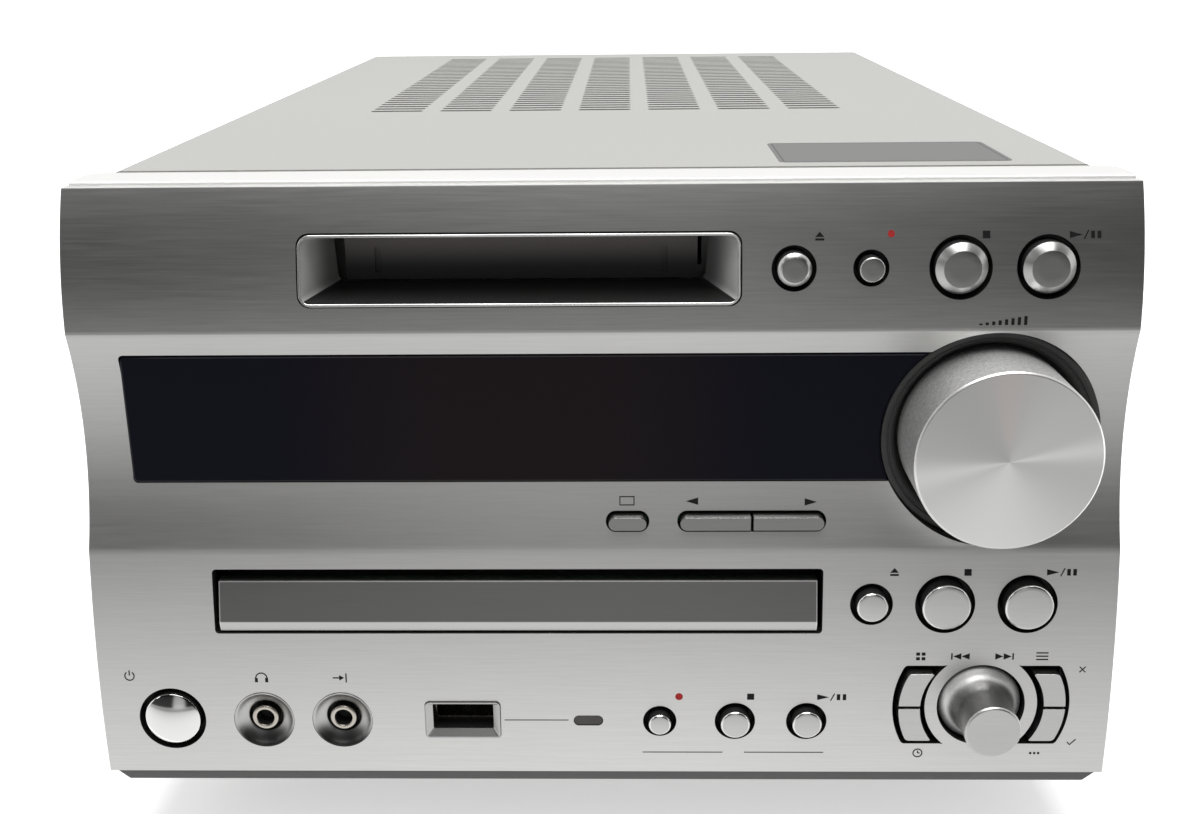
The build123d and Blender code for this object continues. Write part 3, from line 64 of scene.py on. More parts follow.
# Fascia: one wave-shaped aluminium panel, brushed from side to side and satin anodised.
# It is pressed over a former, and every opening is punched straight through from the front.
mm = 0.001
fascia_wall = 3.0 * mm
_, fascia_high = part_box("front_fascia")
top_edge = Vector((0.0, fascia_high.y - fascia_wall, fascia_high.z))
creases = [(0.0, 0.0), (-7.2, -27.1), (-9.6, -70.9), (-13.6, -119.2)]
bulges = [1.4, -4.0, 1.3]
band_steps = 40
tool_reach = 40


def spot(x, depth, height):
    """Point of the frame, from millimetres to the right of, behind and above the fascia's top edge."""
    return top_edge + Vector((x, depth, height)) * mm


def axis_at(place, depth=0):
    """Point on the axis that runs to the rear from a place on the front."""
    return spot(place[0], depth, place[1])


def band_circle(start, end, bulge):
    """Centre and signed radius of a band's arc, in millimetres of (depth, height)."""
    chord = hypot(end[0] - start[0], end[1] - start[1])
    outward = ((end[1] - start[1]) / chord, (start[0] - end[0]) / chord)
    radius = ((chord / 2) ** 2 + bulge**2) / (2 * bulge)
    middle = ((start[0] + end[0]) / 2, (start[1] + end[1]) / 2)
    return [middle[i] + outward[i] * (bulge - radius) for i in (0, 1)], radius


def skin(height):
    """Depth of the fascia's front face, in millimetres, at a height below its top edge."""
    height = min(0.0, max(creases[-1][1], height))
    for start, end, bulge in zip(creases, creases[1:], bulges):
        if height >= end[1] - 1e-6:
            centre, radius = band_circle(start, end, bulge)
            reach = sqrt(radius**2 - (height - centre[1]) ** 2)
            return centre[0] - reach if radius > 0 else centre[0] + reach


def choose(piece, *others):
    """Select only these pieces, with the first one active."""
    bpy.ops.object.select_all(action="DESELECT")
    for one in (piece, *others):
        one.select_set(True)
    bpy.context.view_layer.objects.active = piece


def pick_all():
    bpy.ops.mesh.select_all(action="SELECT")


def begin(kind, **settings):
    """Add a primitive with nothing else selected, and open it in edit mode."""
    if bpy.context.mode != "OBJECT":
        bpy.ops.object.mode_set(mode="OBJECT")
    bpy.ops.object.select_all(action="DESELECT")
    getattr(bpy.ops.mesh, f"primitive_{kind}_add")(**settings)
    bpy.ops.object.mode_set(mode="EDIT")
    bpy.ops.mesh.select_mode(type="FACE")
    pick_all()
    return bpy.context.object


def pick(piece, parts, test):
    """Select the vertices, edges or faces of a piece that pass a test on their own points."""
    mesh = bmesh.from_edit_mesh(piece.data)
    bpy.ops.mesh.select_all(action="DESELECT")
    bpy.ops.mesh.select_mode(type={"verts": "VERT", "edges": "EDGE", "faces": "FACE"}[parts])
    for part in getattr(mesh, parts):
        points = [part.co] if parts == "verts" else [v.co for v in part.verts]
        if test([piece.matrix_world @ point for point in points]):
            part.select_set(True)
    mesh.select_flush_mode()
    bmesh.update_edit_mesh(piece.data)


def extrude(move):
    """Extrude the selected faces or edges by a vector, in edit mode."""
    bpy.ops.mesh.extrude_region_move(TRANSFORM_OT_translate={"value": move})


def bevel(width, segments, **settings):
    """Bevel or round the selected edges by a width in millimetres, in edit mode."""
    bpy.ops.mesh.bevel(offset=width * mm, segments=segments, affect="EDGES", **settings)


def stretch(factors, centre):
    """Scale what is selected about a point, in edit mode."""
    bpy.ops.transform.resize(value=factors, center_override=centre)


def settle(piece):
    """Put a piece's place and turn into its mesh."""
    choose(piece)
    bpy.ops.object.transform_apply(location=True, rotation=True, scale=True)
    return piece


def close(piece):
    """Leave edit mode with the normals outwards and the piece's place in its mesh."""
    pick_all()
    bpy.ops.mesh.normals_make_consistent(inside=False)
    bpy.ops.object.mode_set(mode="OBJECT")
    return settle(piece)


def modify(piece, kind, **settings):
    """Add a modifier to a piece and apply it."""
    choose(piece)
    modifier = piece.modifiers.new(kind.title(), kind)
    for name, value in settings.items():
        setattr(modifier, name, value)
    bpy.ops.object.modifier_apply(modifier=modifier.name)
    return piece


def soften(piece, width, segments=2, corner=40.0):
    """Break the sharp edges of a piece by a width in millimetres, and shade it smooth between them."""
    modify(
        piece, "BEVEL", width=width * mm, segments=segments, limit_method="ANGLE",
        angle_limit=radians(corner), miter_outer="MITER_ARC",
    )
    bpy.ops.object.shade_smooth_by_angle(angle=radians(32))
    return modify(piece, "WEIGHTED_NORMAL", keep_sharp=True)


def combine(piece, operation, *tools):
    """Join, cut or intersect a piece with the tools' shapes, and remove the tools."""
    for tool in tools:
        modify(piece, "BOOLEAN", operation=operation, solver="EXACT", object=tool)
        bpy.data.objects.remove(tool)
    return piece


def cut(piece, *tools):
    return combine(piece, "DIFFERENCE", *tools)


def block(low, high):
    """Cube primitive stretched between two corners, left in edit mode."""
    low, high = Vector(low), Vector(high)
    middle = (low + high) / 2
    piece = begin("cube", size=1.0, location=middle)
    stretch(high - low, middle)
    return piece


def rounded(low, high, radius, axis=1, segments=10):
    """Block whose four edges along one axis are rounded, with the radius in millimetres."""
    piece = block(low, high)
    if radius:
        across = [i for i in range(3) if i != axis]
        pick(piece, "edges", lambda ends: all(abs(ends[0][i] - ends[1][i]) < 1e-7 for i in across))
        bevel(radius, segments, clamp_overlap=False)
        pick_all()
        bpy.ops.mesh.remove_doubles(threshold=1e-7)
    return close(piece)


def punch(centre, width, height, radius):
    """Tool for an opening of that size, in millimetres, that runs straight through the fascia."""
    low = spot(centre[0] - width / 2, -tool_reach, centre[1] - height / 2)
    high = spot(centre[0] + width / 2, tool_reach, centre[1] + height / 2)
    return rounded(low, high, radius)


def drill(centre, radius):
    """Tool for a round hole, in millimetres, that runs straight through the fascia."""
    return close(begin(
        "cylinder", vertices=96, radius=radius * mm, depth=2 * tool_reach * mm,
        location=axis_at(centre), rotation=(pi / 2, 0, 0),
    ))


class Wire:
    """A shader socket that sums like a number: an operator adds its Math node."""

    def __init__(self, tree, socket):
        self.tree = tree
        self.socket = socket

    def node(self, kind, settings, sockets, out=0):
        """Any other node: its settings are set first, then the values or links of its sockets."""
        made = self.tree.nodes.new("ShaderNode" + kind)
        for name, value in settings.items():
            if name == "stops":
                ramp = made.color_ramp.elements
                for place, _ in value[2:]:
                    ramp.new(place)
                for element, (place, level) in zip(ramp, value):
                    element.position = place
                    element.color = (level, level, level, 1.0)
            else:
                setattr(made, name, value)
        for name, value in sockets.items():
            if isinstance(value, Wire):
                self.tree.links.new(value.socket, made.inputs[name])
            else:
                made.inputs[name].default_value = value
        return Wire(self.tree, made.outputs[out])

    def math(self, operation, *others):
        return self.node("Math", {"operation": operation}, dict(enumerate((self, *others))))

    def __add__(self, other):
        return self.math("ADD", other)

    def __sub__(self, other):
        return self.math("SUBTRACT", other)

    def __rsub__(self, other):
        return self.node("Math", {"operation": "SUBTRACT"}, {0: other, 1: self})

    def __mul__(self, other):
        return self.math("MULTIPLY", other)

    def __truediv__(self, other):
        return self.math("DIVIDE", other)

    def __abs__(self):
        return self.math("ABSOLUTE")

    __radd__ = __add__
    __rmul__ = __mul__

    def step(self, low, high):
        """Smooth rise from 0 at low to 1 at high."""
        return self.node(
            "MapRange", {"interpolation_type": "SMOOTHSTEP"},
            {"Value": self, "From Min": low, "From Max": high},
        )

    def axis(self, name):
        """One of a vector's numbers."""
        return self.node("SeparateXYZ", {}, {0: self}, out="XYZ".index(name))

    def scaled(self, x, y, z):
        """The same place on a grid of another scale along each axis."""
        return self.node("Mapping", {}, {"Vector": self, "Scale": (x, y, z)})

    def noise(self, scale, detail=2.0, roughness=0.55):
        return self.node(
            "TexNoise", {}, {"Vector": self, "Scale": scale, "Detail": detail, "Roughness": roughness}
        )

    def mix(self, low, high):
        """A colour between two others, by this share."""
        pair = {
            key: value if isinstance(value, Wire) else (*value, 1.0)
            for key, value in ((6, low), (7, high))
        }
        return self.node("Mix", {"data_type": "RGBA"}, {0: self, **pair}, out=2)

    def bump(self, strength, distance):
        """Normal of a relief of this height, whose distance is in millimetres."""
        return self.node("Bump", {}, {"Height": self, "Strength": strength, "Distance": distance * mm})


def object_place(tree):
    return Wire(tree, tree.nodes.new("ShaderNodeTexCoord").outputs["Object"])


def surface(name, fixed, painter):
    """Material with one Principled shader: its fixed values, and what the painter varies over it."""
    material = bpy.data.materials.new(name)
    material.use_nodes = True
    tree = material.node_tree
    shader = tree.nodes["Principled BSDF"]
    for socket, value in fixed.items():
        shader.inputs[socket].default_value = value
    for socket, wire in painter(object_place(tree)).items():
        tree.links.new(wire.socket, shader.inputs[socket])
    return material


def grey(wire, warmth=0.985):
    """A grey as a colour, a little warmer than neutral."""
    return wire.node("CombineColor", {}, {0: wire, 1: wire * 0.997, 2: wire * warmth})


def grained(name, fixed, scale, tones, rough, bump=None, detail=2.0):
    """Surface with one fine grain, which takes the grey and the roughness from a base by a spread.

    Tones are a base and a spread of grey, or two colours. A scale of three numbers stretches the grain.
    """
    def paint(place):
        if isinstance(scale, tuple):
            grain = place.scaled(*scale).noise(1.0, detail)
        else:
            grain = place.noise(scale, detail)
        low, high = tones
        looks = {
            "Base Color": grain.mix(low, high) if isinstance(low, tuple) else grey(low + grain * high),
            "Roughness": rough[0] + grain * rough[1],
        }
        if bump:
            looks["Normal"] = grain.bump(*bump)
        return looks

    return surface(name, fixed, paint)


def above_edge(place):
    """Height over the fascia's top edge, in millimetres."""
    return (place.axis("Z") - top_edge.z) / mm


def behind_edge(place):
    """Depth behind the fascia's top edge, in millimetres."""
    return (place.axis("Y") - top_edge.y) / mm


def mount(piece, name, body, slot, material, *stands_for):
    """Name a finished piece, give it its finish, and fix it to the body that carries it."""
    piece.name = piece.data.name = name
    piece.data.materials.clear()
    piece.data.materials.append(material)
    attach(piece, body)
    if stands_for:
        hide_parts(*stands_for)
    return piece


def brushed(place, base, spread):
    """Streaks of brushing along x: a share of the base colour, and the height of the scratches."""
    streaks = place.scaled(70.0, 500.0, 2600.0).noise(1.0, detail=5.0, roughness=0.65)
    clouds = place.scaled(9.0, 9.0, 14.0).noise(1.0)
    return base * (1.0 - spread / 2 + streaks * spread) * (0.97 + clouds * 0.06), streaks


def paint_fascia(place):
    height = above_edge(place)
    upper = height.step(creases[1][1] - 0.15, creases[1][1] + 0.15)
    lower = 1.0 - height.step(creases[2][1] - 0.15, creases[2][1] + 0.15)
    # The top edge is painted lighter: a painted highlight along it.
    painted_edge_highlight = height.step(-0.14, -0.04)
    shade = 0.63 - upper * 0.23 + lower * 0.06 + painted_edge_highlight * 0.4
    colour, streaks = brushed(place, shade, 0.22 + upper * 0.25)
    return {
        "Base Color": grey(colour, 0.975),
        "Roughness": 0.3 + streaks * 0.1,
        "Normal": streaks.bump(0.12, 0.05),
    }


metal = {"Metallic": 1.0}
dull = {"Specular IOR Level": 0.3}
fascia_metal = surface("fascia_brushed", metal, paint_fascia)
black_plastic = grained(
    "black_grained", dull, 1800.0, (0.012, 0.008), (0.42, 0.15), bump=(0.12, 0.03)
)


def wave_sheet(half_width, set_back, reach):
    """Wave-shaped slab across the front: its face stands this far behind the fascia's own face."""
    slab = begin("plane", size=2 * half_width, location=spot(0, set_back, 0) + Vector((0, half_width, 0)))
    face_y = spot(0, set_back, 0).y
    pick(slab, "verts", lambda points: points[0].y > face_y + mm)
    bpy.ops.mesh.delete(type="VERT")
    pick_all()
    for crease, following, bulge in zip(creases, creases[1:], bulges):
        centre, radius = band_circle(crease, following, bulge)
        turns = [atan2(end[1] - centre[1], end[0] - centre[0]) for end in (crease, following)]
        sweep = (turns[1] - turns[0] + pi) % (2 * pi) - pi
        bpy.ops.mesh.spin(
            steps=band_steps, angle=sweep, center=spot(0, centre[0] + set_back, centre[1]), axis=(-1, 0, 0)
        )
    pick_all()
    extrude((0, reach, 0))
    return slab


volume_place, jog_place = (76.4, -49.0), (76.66, -103.8)
jack_z, bezel_place, pill_z = -107.25, (-15.06, -15.25), -65.8
round_holes = {
    "md_eject": ((37.0, -15.25), 4.25), "md_rec": ((51.5, -15.25), 3.4),
    "md_stop": ((68.3, -15.25), 5.95), "md_play": ((84.7, -15.25), 5.95),
    "cd_eject": ((53.9, -82.2), 4.25), "cd_stop": ((68.5, -82.2), 5.95),
    "cd_play": ((84.8, -82.2), 5.95), "power": ((-88.13, -107.0), 6.85),
    "usb_rec": ((11.8, -107.4), 3.4), "usb_stop": ((27.1, -107.4), 4.1),
    "usb_play": ((41.6, -107.4), 4.1), "headphone": ((-69.27, jack_z), 6.2),
    "line_in": ((-53.15, jack_z), 6.2), "volume": (volume_place, 21.47), "jog": (jog_place, 8.85),
}
slots_cut = [
    (bezel_place, 84.64, 13.81, 2.4), ((-13.62, -44.875), 159.48, 26.59, 1.0),
    ((5.4, pill_z), 8.64, 4.0, 1.98), ((30.03, pill_z), 29.5, 4.0, 1.98),
    ((-16.85, -81.6), 122.18, 13.3, 0.8), ((-28.4, -107.2), 15.54, 8.44, 1.0),
    ((-2.74, -107.3), 6.04, 2.28, 1.12),
]
arc_inner, arc_outer, arc_half = 11.3, 17.8, 8.7
arc_reach = 1.05
frame_half, lip_top, strip_foot = 102.2, -118.8, -0.3


def ring_part(centre, inner, outer, start, end, depths):
    """Part of a ring, from one angle to another, between two depths, left in edit mode."""
    middle = axis_at(centre, depths[0])
    piece = begin(
        "plane", size=(outer - inner) * mm, location=middle + Vector(((inner + outer) / 2 * mm, 0, 0))
    )
    stretch((1, 0, 1), middle)
    bpy.ops.mesh.select_mode(type="VERT")
    bpy.ops.mesh.remove_doubles(threshold=1e-6)
    bpy.ops.transform.rotate(value=start, orient_axis="Y", center_override=middle)
    steps = max(8, int(degrees(end - start) / 3))
    bpy.ops.mesh.spin(steps=steps, angle=end - start, center=middle, axis=(0, 1, 0))
    pick_all()
    extrude((0, (depths[1] - depths[0]) * mm, 0))
    return piece


def trim(piece, place, outward):
    """Cut off what lies outward of a plane, and fill the cut, in edit mode."""
    pick_all()
    bpy.ops.mesh.bisect(plane_co=place, plane_no=outward, use_fill=True, clear_outer=True)


def round_corners(piece, radius, heights):
    """Round the edges of a piece that run to the rear at these heights, in edit mode."""
    levels = [spot(0, 0, height).z for height in heights]
    pick(piece, "edges", lambda ends: abs(ends[0].y - ends[1].y) > mm and any(
        abs(ends[0].z - level) < 0.02 * mm for level in levels))
    bevel(radius, 5)


def second_finish(piece, material, test):
    """Give the faces that pass a test on their centre and normal another finish."""
    piece.data.materials.append(material)
    for face in piece.data.polygons:
        if test(face.center, face.normal):
            face.material_index = len(piece.data.materials) - 1


fascia = close(wave_sheet(fascia_high.x, 0.0, fascia_wall))
arcs = []
for middle_turn in (0.0, pi):
    arc = ring_part(
        jog_place, arc_inner, arc_outer, middle_turn - arc_reach, middle_turn + arc_reach,
        (-tool_reach, tool_reach),
    )
    for rise in (-1, 1):
        trim(arc, spot(0, 0, jog_place[1] + rise * arc_half), (0, 0, rise))
    round_corners(arc, 1.3, (jog_place[1] - arc_half, jog_place[1] + arc_half))
    arcs.append(close(arc))
cut(
    fascia, *[drill(place, radius) for place, radius in round_holes.values()],
    *[punch(*slot) for slot in slots_cut], *arcs,
)
soften(fascia, 0.14, segments=1)
mount(fascia, "fascia_panel", "case", "fascia_metal", fascia_metal, "front_fascia")
# The walls of the openings get the black finish: painted shade inside them.
second_finish(
    fascia, black_plastic,
    lambda centre, normal: abs(normal.y) < 0.25 and abs(centre.x) < frame_half * mm
    and lip_top * mm < centre.z - top_edge.z < strip_foot * mm,
)


# Front frame: one moulding behind the fascia, painted silver where it shows as the strip over the
# fascia, and dark on the lip under it. It is screwed to the chassis from behind.
frame_front, frame_back = 3.1, 14.5
lip_half, lip_foot = 102.1, 99.0


def join(piece, *others):
    """One piece from several."""
    choose(piece, *others)
    bpy.ops.object.join()
    return piece


def paint_frame(place):
    silver = above_edge(place).step(-4.0, -3.0)
    grain = place.noise(2600.0, detail=3.0)
    return {
        "Base Color": silver.mix((0.1, 0.1, 0.1), (0.74, 0.735, 0.72)),
        "Roughness": 0.42 + grain * 0.12,
        "Metallic": silver * 0.35,
        "Normal": grain.bump(0.08, 0.03),
    }


frame_body = wave_sheet(frame_half * mm, frame_front, 20.0 * mm)
rear = spot(0, frame_back, 0)
pick(frame_body, "verts", lambda points: points[0].y > rear.y - 7.0 * mm)
stretch((1, 0, 1), rear)
close(frame_body)
strip = block(spot(-frame_half, frame_front, -2.5), spot(frame_half, frame_back, 0.7))
pick(strip, "edges", lambda ends: all(
    p.z > spot(0, 0, 0.6).z and p.y < spot(0, 4, 0).y for p in ends))
bevel(0.65, 4)
combine(frame_body, "UNION", close(strip))
combine(frame_body, "INTERSECT", rounded(
    spot(-frame_half, -30, -130), spot(frame_half, frame_back, 5), 3.5, axis=2))
cut(frame_body, rounded(spot(-99.7, -20, -116.7), spot(99.7, 60, -1.8), 0))
lip = block(spot(-lip_half, -12.5, -121.8), spot(lip_half, frame_back, -119.3))
pick(lip, "verts", lambda points: points[0].z < spot(0, 0, -120).z)
stretch((lip_foot / lip_half, 1, 1), spot(0, 1, -121.8))
join(frame_body, close(lip))
soften(frame_body, 0.3, segments=3)
mount(
    frame_body, "frame_moulding", "case", "frame_plastic", surface("frame_paint", {}, paint_frame),
    "front_frame",
)


# Top cover: one folded steel sheet with rounded shoulders, sprayed a warm silver.
# Seven ladders of fine slots are pierced through it over the warm parts, and screws hold its sides.
cover_rise, cover_half = 0.93, 98.6
vent_x, vent_pitch, vent_width = -0.6, 18.7, 14.0
vent_start, vent_rows, vent_step, vent_slot = 117.0, 33, 5.62, 2.7


def paint_cover(place):
    grain = place.noise(1500.0, detail=3.0)
    clouds = place.noise(6.0)
    height, along = above_edge(place), behind_edge(place)
    across = abs(place.axis("X") / mm - vent_x)
    # The walls of the vent slots are painted darker: painted shade inside the slots.
    slot_wall_shade = height.step(-0.4, -0.2) * (1.0 - height.step(cover_rise - 0.22, cover_rise - 0.12))
    ladders = along.step(100.0, 101.0) * (1.0 - along.step(310.0, 311.0)) * (1.0 - across.step(64.0, 65.0))
    return {
        "Base Color": grey((0.43 + clouds * 0.04) * (1.0 - slot_wall_shade * ladders * 0.75), 0.95),
        "Roughness": 0.42 + grain * 0.12,
        "Normal": grain.bump(0.1, 0.04),
    }


def fold(half_width, top, radius, start, end):
    """Hoop of sheet as a solid bar with its two upper edges rounded."""
    bar = block(spot(-half_width, start, -124.0), spot(half_width, end, top))
    high = spot(0, 0, top).z - 1e-6
    pick(bar, "edges", lambda ends: all(p.z > high for p in ends) and abs(ends[0].x - ends[1].x) < 1e-6)
    bevel(radius, 8)
    return close(bar)


cover = fold(cover_half, cover_rise, 2.6, 14.9, 317.8)
hollow = fold(cover_half - 1.0, cover_rise - 1.0, 1.6, 10.0, 325.0)
slot_low = spot(vent_x - 3 * vent_pitch - vent_width / 2, vent_start, -6.0)
slot_high = slot_low + Vector((vent_width, vent_slot, 12.0)) * mm
slot_tool = rounded(slot_low, slot_high, 0.9, axis=2, segments=3)
for count, step in ((vent_rows, (0, vent_step * mm, 0)), (7, (vent_pitch * mm, 0, 0))):
    modify(
        slot_tool, "ARRAY", count=count, use_relative_offset=False, use_constant_offset=True,
        constant_offset_displace=step,
    )
cut(cover, hollow, slot_tool)
soften(cover, 0.15, segments=1, corner=60.0)
cover_paint = surface("cover_spray", {"Metallic": 0.3}, paint_cover)
mount(cover, "cover_sheet", "case", "cover_paint", cover_paint, "top_cover")


# Rating label: a thin foil label with rounded corners on the cover's front right, left blank.
# It has a fine dark border inside its edge, and is stuck on.
label_low, label_high = (36.4, 20.0), (83.5, 48.5)


def paint_label(place):
    across = abs(place.axis("X") / mm - (label_low[0] + label_high[0]) / 2)
    along = behind_edge(place) - (label_low[1] + label_high[1]) / 2
    half = [(high - low) / 2 for low, high in zip(label_low, label_high)]
    border = (across - half[0]).math("MAXIMUM", abs(along) - half[1])
    line = border.step(-1.15, -1.05) * (1.0 - border.step(-0.85, -0.75))
    grain = place.noise(900.0, detail=3.0)
    return {
        "Base Color": grey((0.13 + grain * 0.04) * (1.0 - line * 0.7)),
        "Roughness": 0.45 + grain * 0.12,
        "Normal": grain.bump(0.08, 0.02),
    }


label = rounded(spot(*label_low, cover_rise - 0.2), spot(*label_high, 0.99), 1.6, axis=2)
soften(label, 0.02, segments=1, corner=60.0)
mount(label, "blank_label", "case", "cover_paint", surface("label_foil", dull, paint_label))


# Turned metal: the lathe helper, and the cover's and panel's screws with their cross recesses.
# The screws are black zinc pan heads, five at the rear and two on each side.
def turned(origin, profile, sides=96, upright=False):
    """Solid turned from (radius, place) pairs in millimetres, about an axis that runs back or up."""
    along = Vector((0, 0, mm)) if upright else Vector((0, mm, 0))
    turn = (0, 0, 0) if upright else (pi / 2, 0, 0)
    piece = begin(
        "circle", vertices=sides, radius=profile[0][0] * mm, fill_type="NGON",
        location=origin + along * profile[0][1], rotation=turn,
    )
    for (radius, place), (following, onward) in zip(profile, profile[1:]):
        extrude(along * (onward - place))
        grow = following / radius
        stretch((grow, grow, 1) if upright else (grow, 1, grow), origin + along * onward)
    return close(piece)


def dome(radius, edge, rise, steps=10):
    """Profile of a dome that starts at its edge and rises towards the front."""
    ball = (radius**2 + rise**2) / (2 * rise)
    top = asin(min(1.0, radius / ball))
    angles = [top * (1 - step / steps) for step in range(steps)] + [top * 0.02]
    return [(ball * sin(angle), edge - rise + ball * (1 - cos(angle))) for angle in angles]


screw_metal = grained("screw_black_zinc", metal, 900.0, (0.045, 0.02), (0.3, 0.15))
screw_head = [(2.6, 0.0), (2.6, -0.5), (2.2, -1.0), (1.6, -1.3), (0.5, -1.4)]
cross_long, cross_wide, cross_deep = 2.4, 0.5, 1.5


def screw(name, place, outward):
    """Pan head screw whose head points outward: "rear", "left" or "right"."""
    head = turned(Vector((0, 0, 0)), screw_head, sides=40)
    for width, height in ((cross_wide, cross_long), (cross_long, cross_wide)):
        low = Vector((-width / 2, -cross_deep, -height / 2)) * mm
        cut(head, rounded(low, low + Vector((width, 0.9, height)) * mm, 0))
    head.rotation_euler.z = {"rear": pi, "left": -pi / 2, "right": pi / 2}[outward]
    head.location = place
    soften(settle(head), 0.1, segments=1)
    return mount(head, name, "case", "shaft_steel", screw_metal)


panel_back = 317.2
for number, (x, height) in enumerate(((-90, -20), (90, -8), (-90, -118), (0, -118), (90, -118)), start=1):
    screw(f"rear_screw_{number}", spot(x, panel_back, height), "rear")
for side, name in ((-1, "left"), (1, "right")):
    for number, depth in enumerate((60.0, 280.0), start=1):
        screw(f"{name}_screw_{number}", spot(side * cover_half, depth, -112.0), name)


# Cartridge slot bezel: a silver-painted moulding set into the upper band, with a thin bright rim and sloping
# walls that lead to the slot, painted darker towards it as painted shade, over a floor given the black
# finish as painted shade. It is heat-staked from behind.
bezel_x, bezel_z = bezel_place
bezel_wide, bezel_tall, rim = 84.1, 13.27, 0.55
mouth_low, mouth_high = (-52.3, -20.6), (20.9, -11.3)


def paint_bezel(place):
    grain = place.scaled(60.0, 60.0, 900.0).noise(1.0, detail=3.0)
    # Deeper into the funnel the grey is painted darker: painted shade in the recess.
    inside = behind_edge(place).step(-2.5, 7.0)
    return {
        "Base Color": grey((0.46 + grain * 0.05) * (1.0 - inside * 0.6)),
        "Roughness": 0.3 + grain * 0.1,
    }


bezel = rounded(
    spot(bezel_x - bezel_wide / 2, -12, bezel_z - bezel_tall / 2),
    spot(bezel_x + bezel_wide / 2, 9.6, bezel_z + bezel_tall / 2), 2.4,
)
bezel_ends = [(skin(z) - 0.5, z) for z in (bezel_z + bezel_tall / 2, bezel_z - bezel_tall / 2)]
lean = Vector((0, bezel_ends[0][1] - bezel_ends[1][1], bezel_ends[1][0] - bezel_ends[0][0])).normalized()
bpy.ops.object.mode_set(mode="EDIT")
trim(bezel, spot(0, *bezel_ends[0]), -lean)
close(bezel)
funnel = block(spot(mouth_low[0], -3, mouth_low[1]), spot(mouth_high[0], 9.7, mouth_high[1]))
slope = (bezel_ends[0][0] - bezel_ends[1][0]) / bezel_tall
pick(funnel, "verts", lambda points: points[0].y > spot(0, 9, 0).y and points[0].z > spot(0, 0, -16).z)
bpy.ops.transform.translate(value=(0, slope * (mouth_high[1] - mouth_low[1]) * mm, 0))
for x, side in ((mouth_low[0], -1), (mouth_high[0], 1)):
    for z, (depth, edge), inward in (
        (mouth_high[1], bezel_ends[0], -rim), (mouth_low[1], bezel_ends[1], rim),
    ):
        near = spot(x, -3, z)
        mouth = spot(bezel_x + side * (bezel_wide / 2 - rim), depth + 0.3, edge + inward)
        pick(funnel, "verts", lambda points: (points[0] - near).length < 0.01 * mm)
        bpy.ops.transform.translate(value=mouth - near)
pick(funnel, "edges", lambda ends: abs(ends[0].y - ends[1].y) > 5 * mm)
bevel(1.5, 6)
pick(funnel, "faces", lambda points: all(p.y < spot(0, -1, 0).y for p in points))
extrude((0, -9 * mm, 0))
cut(bezel, close(funnel))
soften(bezel, 0.22, segments=3)
bezel_metal = surface("bezel_plate", {"Metallic": 0.2}, paint_bezel)
bezel_rim, button_polished = [
    grained(name, metal, 60.0, (0.88, 0.06), (0.16, 0.08), detail=3.0)
    for name in ("bezel_polish", "button_polished")
]
mount(bezel, "slot_bezel", "case", "bezel_metal", bezel_metal, "md_slot_bezel")
second_finish(bezel, bezel_rim, lambda centre, normal: (
    abs((centre - spot(0, *bezel_ends[0])).dot(lean)) < 0.3 * mm))
# The funnel floor gets the black finish: painted shade under the overhang.
second_finish(bezel, black_plastic, lambda centre, normal: (
    normal.z > 0.8 and spot(0, -4, 0).y < centre.y < spot(0, 9, 0).y))


# Volume knob and ring: a spun aluminium knob with a polished edge and a blasted side, in a dark
# dish with two fine grooves. The knob is pinned to its shaft, and the dish clips into the fascia.
knob_r, knob_face = 17.66, -20.0


def around(place, centre):
    """Distance from an axis that runs to the rear, in millimetres, and the angle about it."""
    across = (place.axis("X") - axis_at(centre).x) / mm
    height = (place.axis("Z") - axis_at(centre).z) / mm
    return (across * across + height * height).math("SQRT"), height.math("ARCTAN2", across)


def paint_spun(place):
    distance, angle = around(place, volume_place)
    rings = place.node("CombineXYZ", {}, {0: distance * 9.0, 1: 0.0, 2: 0.0}).noise(1.0, detail=4.0)
    face = 1.0 - ((place.axis("Y") - spot(0, knob_face, 0).y) / mm).step(0.2, 0.7)
    blasted = place.noise(1500.0, roughness=0.8)

    def sheen_fan(turn, sharpness):
        """Painted highlight fan about one angle, in degrees, standing in for the spun face's reflection."""
        return (angle - radians(turn)).math("COSINE").math("MAXIMUM", 0.0).math("POWER", sharpness)

    # Painted highlights and a painted darker fan on the spun face, and a pinkish painted reflection wedge at
    # its top.
    painted_sheen = sheen_fan(9.0, 110.0) * 0.22 + sheen_fan(-170.0, 70.0) * 0.2 + sheen_fan(-100.0, 1.5) * 0.26
    painted_sheen = painted_sheen - sheen_fan(135.0, 2.0) * 0.12 + sheen_fan(30.0, 3.0) * 0.05
    reflection_wedge = sheen_fan(95.0, 40.0) * distance.step(1.0, 6.0)
    shade = (0.7 + painted_sheen + rings * 0.05) * face + (0.8 + (blasted - 0.5) * 0.7) * (1.0 - face)
    height = rings * 0.4 * face + blasted * (1.0 - face)
    return {
        "Base Color": (reflection_wedge * face * 0.4).mix(grey(shade), (0.8, 0.68, 0.65)),
        "Roughness": 0.3 + (1.0 - face) * 0.22 + rings * 0.05,
        "Normal": height.bump(0.35, 0.08),
    }


